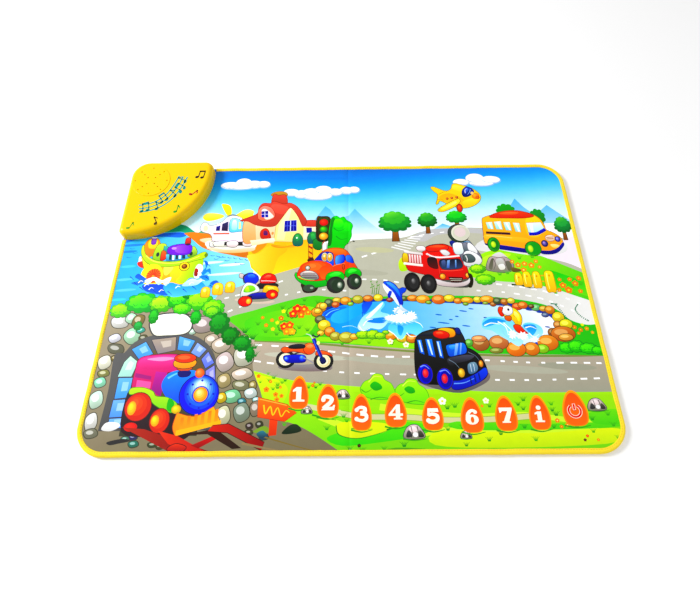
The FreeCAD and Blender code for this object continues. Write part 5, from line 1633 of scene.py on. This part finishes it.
def lift(x, y):
    """How far the cover stands off its flat level, in millimetres."""
    edge = min(HALF_LONG - abs(x), HALF_WIDE - abs(y))
    from_box = (Vector((x, y)) - ARC_MIDDLE).length - ARC if x < ARC_MIDDLE.x + ARC and y > box_low.y else 99
    swell = 0.45 * (1 - math.exp(-max(edge - 6, 0) / 18))
    waves = 0.45 * settled_height(x, y) + 0.1 * noise.noise(Vector((x / 22, y / 26, 1.7)))
    pucker = 0.22 * math.exp(-max(edge - 6, 0) / 7) * noise.noise(Vector((x / 6, y / 6, 5.0)))
    wander = x + 1.5 * noise.noise(Vector((0, y / 50, 9)))
    crease = -0.6 * math.exp(-abs(wander) / 2.2) + 0.3 * math.exp(-((abs(x) - 7) / 5) ** 2)
    calm = 1 if from_box > 14 else max(0.0, from_box / 14)
    return (swell + waves + pucker + crease) * calm


def slope(x, y):
    """The cloth's own normal at a place. Slivers between inks would shade badly without it."""
    here = lift(x, y)
    return Vector((here - lift(x + 0.5, y), here - lift(x, y + 0.5), 0.5)).normalized()


def triangulate(loops, lines=(), spacing=7.0):
    """Triangles over all the loops; each triangle comes with the numbers of the loops that it lies in."""
    points, faces, edges = [], [], []
    for loop in loops:
        faces.append(list(range(len(points), len(points) + len(loop))))
        points.extend(loop)
    for a, b in lines:
        edges.append((len(points), len(points) + 1))
        points.extend((Vector(a), Vector(b)))
    for i in range(int(-HALF_LONG / spacing), int(HALF_LONG / spacing) + 1):
        for j in range(int(-HALF_WIDE / spacing), int(HALF_WIDE / spacing) + 1):
            points.append(Vector(((i + 0.5 * (j % 2)) * spacing, j * spacing)))
    made = delaunay_2d_cdt(points, edges, faces, 0, 1e-3, True)
    return made[0], made[2], made[5]


# %% Build the printed cloth and the touch keys
SKIRT = 0.45                                   # depth of the turned-down edge of each printed piece
FOLD_LINES = [((x, -HALF_WIDE), (x, HALF_WIDE)) for x in (-1.5, -0.75, 0, 0.75, 1.5)]
loops = [mat_outline(HEM), box_corner(10)] + [oval(x, y, reach) for x, y, reach in keys.values()]
OUTLINE, UNDER_BOX, FIRST_KEY, FIRST_PRINT = 0, 1, 2, len(loops)
key_names = list(keys)
points, faces, inside = triangulate(loops + [outline for outline, *_ in prints], FOLD_LINES)
runs = []
for outline, ink, ink2, along in prints:
    along = Vector(along).normalized()
    reaches = [p.dot(along) for p in outline]
    runs.append((along, min(reaches), max(reaches) - min(reaches) or 1, ink, ink2))
inks = {}


def ink_at(number, place):
    """The colour of a printed shape at a place, as linear red, green, blue and one."""
    along, start, length, ink, ink2 = runs[number]
    share = 0 if ink == ink2 else round(min(max((place.dot(along) - start) / length, 0), 1) * 48) / 48
    key = (ink, ink2, share)
    if key not in inks:
        inks[key] = (*linear(vivid(blend_ink(ink, ink2, share))), 1.0)
    return inks[key]


def cloth_piece(name, chosen):
    """A mesh of the chosen triangles, with its ink, and a short turned-down edge all round."""
    shape = bmesh.new()
    colour = shape.loops.layers.float_color.new("print")
    cloth_map = shape.loops.layers.uv.new("cloth")
    made = {}
    for face, prints_here in chosen:
        corners = []
        for index in face:
            if index not in made:
                x, y = points[index]
                made[index] = shape.verts.new((x * MM, y * MM, (COVER_TOP + lift(x, y)) * MM))
            corners.append(made[index])
        drawn = shape.faces.new(corners)
        drawn.smooth = True
        middle = sum((points[i] for i in face), Vector((0, 0))) / 3
        for corner, index in zip(drawn.loops, face):
            corner[colour] = ink_at(prints_here, middle.lerp(points[index], 0.98))
            corner[cloth_map].uv = (points[index].x / 720 + 0.5, points[index].y / 720 + 0.5)
    bmesh.ops.recalc_face_normals(shape, faces=shape.faces)
    if sum(face.normal.z for face in shape.faces) < 0:
        bmesh.ops.reverse_faces(shape, faces=shape.faces)
    rim = [edge for edge in shape.edges if edge.is_boundary]
    hung = points_of(bmesh.ops.extrude_edge_only(shape, edges=rim))
    bmesh.ops.translate(shape, verts=hung, vec=(0, 0, -SKIRT * MM))
    piece = add_piece(name, shape, printed_cloth)
    slopes = [slope(*(vert.co.xy / MM)) for vert in piece.data.vertices]
    piece.data.normals_split_custom_set([slopes[index] if abs(face.normal.z) > 0.3 else face.normal
                                         for face in piece.data.polygons for index in face.vertices])
    return piece


sorted_faces = {}
for face, within in zip(faces, inside):
    if OUTLINE not in within or UNDER_BOX in within:
        continue
    top = max((n for n in within if n >= FIRST_PRINT), default=FIRST_PRINT) - FIRST_PRINT
    key = next((key_names[n - FIRST_KEY] for n in within if FIRST_KEY <= n < FIRST_PRINT), "cover")
    sorted_faces.setdefault(key, []).append((face, top))


def make_print_finish():
    """Printed cloth: the ink, a close weave that barely shows, and the soft shine of coated polyester."""
    material, tree, shader = finish("printed_cloth", "ffffff", 0.5, Specular_IOR_Level=0.12)
    ink = add_node(tree, "ShaderNodeAttribute", attribute_name="print")
    place = add_node(tree, "ShaderNodeUVMap", uv_map="cloth")
    patches = add_node(tree, "ShaderNodeTexNoise", Scale=60.0, Detail=5.0, Roughness=0.65)
    fade = add_node(tree, "ShaderNodeMapRange")
    fade.inputs["To Min"].default_value, fade.inputs["To Max"].default_value = 0.93, 1.05
    tint = add_node(tree, "ShaderNodeVectorMath", operation="SCALE")
    across = add_node(tree, "ShaderNodeTexWave", Scale=190.0, bands_direction="X")
    along = add_node(tree, "ShaderNodeTexWave", Scale=190.0, bands_direction="Y")
    weave = add_node(tree, "ShaderNodeMath", operation="MULTIPLY")
    bump = add_node(tree, "ShaderNodeBump", Strength=0.25, Distance=0.0001)
    link = tree.links.new
    for texture in (patches, across, along):
        link(place.outputs["UV"], texture.inputs["Vector"])
    link(patches.outputs["Fac"], fade.inputs["Value"])
    link(ink.outputs["Color"], tint.inputs[0])
    link(fade.outputs["Result"], tint.inputs["Scale"])
    link(tint.outputs["Vector"], shader.inputs["Base Color"])
    link(across.outputs["Fac"], weave.inputs[0])
    link(along.outputs["Fac"], weave.inputs[1])
    link(weave.outputs[0], bump.inputs["Height"])
    link(bump.outputs["Normal"], shader.inputs["Normal"])
    return material


printed_cloth = make_print_finish()
for name, chosen in sorted_faces.items():
    piece = cloth_piece("printed_" + name, chosen)
    if name == "cover":
        cover = piece
    else:
        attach(piece, name)
        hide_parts(name)
print(len(prints), "printed shapes,", len(cover.data.polygons), "faces in the cover")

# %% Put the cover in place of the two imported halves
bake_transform(cover)
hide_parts("printed_cover_left", "printed_cover_right")

# %% [markdown]
# ## The backing cloth
# Underneath, a pale non-woven cloth closes the mat. It is a plain sheet with a real thickness, cut by
# several lines close to the fold, so that it can wrap round the spine when the mat is folded. Its finish
# has the small pressed dots that bond such cloth.

# %% Build the backing
backing_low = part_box("backing_cloth_left")[0].z / MM
backing_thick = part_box("backing_cloth_left")[1].z / MM - backing_low
SPINE = [((x, -HALF_WIDE), (x, HALF_WIDE)) for x in range(-6, 7)]
points, faces, inside = triangulate([mat_outline(HEM), box_corner(-0.2)], SPINE, 13)
shape = bmesh.new()
verts = [shape.verts.new((x * MM, y * MM, backing_low * MM)) for x, y in points]
for face, within in zip(faces, inside):
    if 0 in within and 1 not in within:
        shape.faces.new([verts[i] for i in face]).smooth = True
bmesh.ops.delete(shape, geom=[v for v in shape.verts if not v.link_faces], context="VERTS")
bmesh.ops.recalc_face_normals(shape, faces=shape.faces)
if sum(face.normal.z for face in shape.faces) > 0:
    bmesh.ops.reverse_faces(shape, faces=shape.faces)
backing_area = sum(face.calc_area() for face in shape.faces)
bmesh.ops.solidify(shape, geom=shape.faces[:], thickness=backing_thick * MM)


def make_backing_finish():
    material, tree, shader = finish("backing_cloth", "e6e4dd", 0.9, Sheen_Weight=0.2)
    place = add_node(tree, "ShaderNodeTexCoord")
    dots = add_node(tree, "ShaderNodeTexVoronoi", Scale=420.0, Randomness=0.15)
    fibres = add_node(tree, "ShaderNodeTexNoise", Scale=700.0, Detail=3.0)
    depth = add_node(tree, "ShaderNodeMath", operation="MULTIPLY_ADD")
    depth.inputs[1].default_value = 1.6
    bump = add_node(tree, "ShaderNodeBump", Strength=0.6, Distance=0.0003)
    colour = place_group(tree, mottle, Base="e6e4dd", Scale=30.0, Amount=0.08)
    link = tree.links.new
    link(place.outputs["Object"], dots.inputs["Vector"])
    link(place.outputs["Object"], fibres.inputs["Vector"])
    link(dots.outputs["Distance"], depth.inputs[0])
    link(fibres.outputs["Fac"], depth.inputs[2])
    link(depth.outputs[0], bump.inputs["Height"])
    link(bump.outputs["Normal"], shader.inputs["Normal"])
    link(colour.outputs["Result"], shader.inputs["Base Color"])
    return material


backing = add_piece("backing_sheet", shape, make_backing_finish())
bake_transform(backing)
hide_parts("backing_cloth_left", "backing_cloth_right")
print("backing", round(backing_area, 3), "square metres")

# %% [markdown]
# ## The edge tape
# A woven yellow tape is folded over the edge of all the sheets and sewn through. Its section is a puffy C:
# a top leg, a rounded outer side and a bottom leg, with the sheets in its mouth. The section is drawn once,
# then extruded along the straight edges and spun round the corners. Puckers come last, as small moves of
# the finished mesh.

# %% Build the tape
TAPE_SECTION = listed("""
7.3,5.75 6.7,6.25 5.6,6.55 4.2,6.95 2.8,6.9 1.5,6.3 0.5,5.1 0.05,3.4 0.3,1.8 1.1,0.6
2.4,0.05 4.6,0.02 6.9,0.05 7.2,0.35 6.9,0.58 2.6,0.6 2.0,1.2 2.0,5.0 2.6,5.55 6.9,5.58
""")                                            # distance in from the mat's edge, and height
STEP = 3.0
left_start, back_end = box_low.y - 0.2, box_high.x + 0.2
straight_x, straight_y = HALF_LONG - CORNER, HALF_WIDE - CORNER
shape = bmesh.new()
section = [shape.verts.new(((-HALF_LONG + u) * MM, left_start * MM, z * MM)) for u, z in TAPE_SECTION]
front_end = [shape.edges.new((a, b)) for a, b in zip(section, section[1:] + section[:1])]
first_edges = list(front_end)


def run_on(edges, direction, length):
    """Extrudes the open end along a straight edge in short steps."""
    steps = max(1, round(length / STEP))
    for _ in range(steps):
        made = bmesh.ops.extrude_edge_only(shape, edges=edges)
        moved = points_of(made)
        bmesh.ops.translate(shape, verts=moved, vec=Vector((*direction, 0)) * (length / steps) * MM)
        edges = [e for e in made["geom"]
                 if isinstance(e, bmesh.types.BMEdge) and all(v in moved for v in e.verts)]
    return edges


def turn_corner(edges, x, y):
    """Spins the open end a quarter turn round a corner's middle."""
    ends = {v for e in edges for v in e.verts}
    made = bmesh.ops.spin(shape, geom=edges + list(ends), cent=(x * MM, y * MM, 0), axis=(0, 0, 1),
                          dvec=(0, 0, 0), angle=math.radians(90), steps=16, use_merge=False)["geom_last"]
    return [e for e in made if isinstance(e, bmesh.types.BMEdge)]


end = run_on(front_end, (0, -1), left_start + straight_y)
end = turn_corner(end, -straight_x, -straight_y)
end = run_on(end, (1, 0), 2 * straight_x)
end = turn_corner(end, straight_x, -straight_y)
end = run_on(end, (0, 1), 2 * straight_y)
end = turn_corner(end, straight_x, straight_y)
end = run_on(end, (-1, 0), straight_x - back_end)
bmesh.ops.contextual_create(shape, geom=first_edges)
bmesh.ops.contextual_create(shape, geom=end)
bmesh.ops.recalc_face_normals(shape, faces=shape.faces)
for vert in shape.verts:
    x, y, z = vert.co / MM
    height = z / 7
    puff = noise.noise(Vector((x / 5, y / 5, 2))) * 0.35 + noise.noise(Vector((x / 28, y / 28, 4))) * 0.5
    out = Vector((x / HALF_LONG, y / HALF_WIDE))
    out = Vector((math.copysign(abs(out.x) ** 30, out.x), math.copysign(abs(out.y) ** 30, out.y)))
    if height > 0.2:
        vert.co.z += puff * height * 0.8 * MM
    if out.length > 0.1:
        shift = 0.45 * noise.noise(Vector((x / 30, y / 30, 8))) + 0.15 * noise.noise(Vector((x / 7, y / 7, 3)))
        vert.co += Vector((*out.normalized(), 0)) * shift * MM
for face in shape.faces:
    face.smooth = len(face.verts) == 4
yellow_tape = dress("yellow_tape", "f8dc2c", 0.62, patches=(45.0, 0.16), specks=(900.0, 0.0002),
                    weave=(0.7, 520.0), Specular_IOR_Level=0.15)
tape = add_piece("edge_tape", shape, yellow_tape)
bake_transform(tape)
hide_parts("edge_binding_left", "edge_binding_right")
print("tape:", len(tape.data.vertices), "points")

# %% [markdown]
# A lockstitch holds the tape. Each stitch is a small drawn-out ball, sunk into the tape 1.9 mm in from its
# inner edge, and there is one for every 3.6 mm of edge.

# %% Sew the tape
SEAM_IN, PITCH = 5.5, 3.6
seam = bmesh.new()


def sew(x, y, heading):
    made = bmesh.ops.create_uvsphere(seam, u_segments=6, v_segments=4, radius=0.42 * MM)["verts"]
    bmesh.ops.scale(seam, verts=made, vec=(2.9, 1, 0.8))
    bmesh.ops.rotate(seam, verts=made, cent=(0, 0, 0), matrix=Matrix.Rotation(heading, 3, "Z"))
    small, large = noise.noise(Vector((x / 5, y / 5, 2))), noise.noise(Vector((x / 28, y / 28, 4)))
    level = 6.62 + small * 0.26 + large * 0.38
    bmesh.ops.translate(seam, verts=made, vec=Vector((x, y, level)) * MM)


def sew_straight(start, finish_at):
    start, finish_at = Vector(start), Vector(finish_at)
    count = int((finish_at - start).length / PITCH)
    heading = math.atan2(finish_at.y - start.y, finish_at.x - start.x)
    for i in range(count):
        sew(*start.lerp(finish_at, (i + 0.5) / count), heading)


side_x, side_y = HALF_LONG - SEAM_IN, HALF_WIDE - SEAM_IN
sew_straight((-side_x, left_start), (-side_x, -straight_y))
sew_straight((-straight_x, -side_y), (straight_x, -side_y))
sew_straight((side_x, -straight_y), (side_x, straight_y))
sew_straight((straight_x, side_y), (back_end, side_y))
bend = CORNER - SEAM_IN
count = int(math.pi / 2 * bend / PITCH)
for side, end_side, first in ((-1, -1, 180), (1, -1, 270), (1, 1, 0)):
    for i in range(count):
        angle = first + 90 * (i + 0.5) / count
        place = Vector((side * straight_x, end_side * straight_y)) + polar(angle, bend)
        sew(*place, math.radians(angle + 90))
for face in seam.faces:
    face.smooth = True
yellow_thread = dress("yellow_thread", "e9a800", 0.55, specks=(3000.0, 0.00005), Sheen_Weight=0.3)
stitches = add_piece("tape_stitches", seam, yellow_thread)
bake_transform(stitches)
print("stitches:", len(seam.faces) // 24)

# %% [markdown]
# ## The print on the sound box
# The box's top is pad-printed: small notes along the front, and between them and the speaker a stave that
# curves with the box's round side. The shapes are flat films of ink a few hundredths of a millimetre thick,
# so they are cut as outlines and given that thickness.

# %% Print the box
INK_THICK = 0.15
BOX_HEIGHT = 25                                 # the flat of the lid, above the box's foot
BOX_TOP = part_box("box_bottom_shell")[0].z / MM + BOX_HEIGHT
box_inks = {}


def box_print(ink, outline):
    box_inks.setdefault(ink, []).append(outline)


def ribbon(points, width, tip=None):
    """The outline of a line drawn along a smooth path, taken off the pile that stroke laid it on."""
    stroke(points, width, "000000", tip)
    return prints.pop()[0]


def note(ink, x, y, size, turn, pair=False):
    """A quaver, or two joined by a beam."""
    spin = Matrix.Rotation(math.radians(turn), 2)

    def put(outline):
        box_print(ink, [spin @ (Vector(p) * size) + Vector((x, y)) for p in outline])

    for shift in ((-0.55, 0.55) if pair else (0,)):
        put(oval(shift - 0.16, -0.8, 0.42, 0.31, 20))
        put([(shift + u, v) for u, v in ((0.04, -0.775), (0.24, -0.775), (0.24, 0.975), (0.04, 0.975))])
    if pair:
        put([(-0.51, 0.62), (0.79, 0.8), (0.79, 1.2), (-0.51, 1.02)])
    else:
        put(ribbon([(0.1, 0.95), (0.35, 0.6), (0.62, 0.45), (0.55, 0.1)], 0.36, 0.08))


note("1a1612", -243, 208, 7.6, -8, True)
note("a8201c", -250, 171, 7.4, -42)
note("2f9a1e", -273, 139, 7.4, -6)
note("4a3a10", -304, 117, 7.4, 28)
note("5a9a1c", -341, 108, 7.2, -22)
for line in range(3):
    reach = 74 + line * 7
    arc = [ARC_MIDDLE + polar(a, reach + 2.2 * math.sin(math.radians(a * 5))) for a in range(-78, -9, 4)]
    box_print("0e9f98", ribbon(arc, 2.1))
for angle, step, pair in listed("-71,1,1 -59,3,0 -48,0,1 -36,2,0 -26,3,1 -15,1,0"):
    x, y = ARC_MIDDLE + polar(angle, 77 + step * 2.4)
    note("0a857e", x, y, 8.4, angle + 84, pair)
for ink, outlines in box_inks.items():
    film = bmesh.new()
    for outline in outlines:
        face = film.faces.new([film.verts.new((p.x * MM, p.y * MM, BOX_TOP * MM)) for p in outline])
        face.normal_update()
        if face.normal.z < 0:
            face.normal_flip()
    raised = points_of(bmesh.ops.extrude_face_region(film, geom=film.faces[:]))
    bmesh.ops.translate(film, verts=raised, vec=(0, 0, INK_THICK * MM))
    bmesh.ops.triangulate(film, faces=film.faces[:])
    bmesh.ops.recalc_face_normals(film, faces=film.faces)
    box_ink = dress("box_ink_" + ink, ink, 0.35, specks=(2000.0, 0.00001), Specular_IOR_Level=0.14)
    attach(add_piece("box_print_" + ink, film, box_ink), "mat_left")
print("printed", sum(len(o) for o in box_inks.values()), "marks on the box")
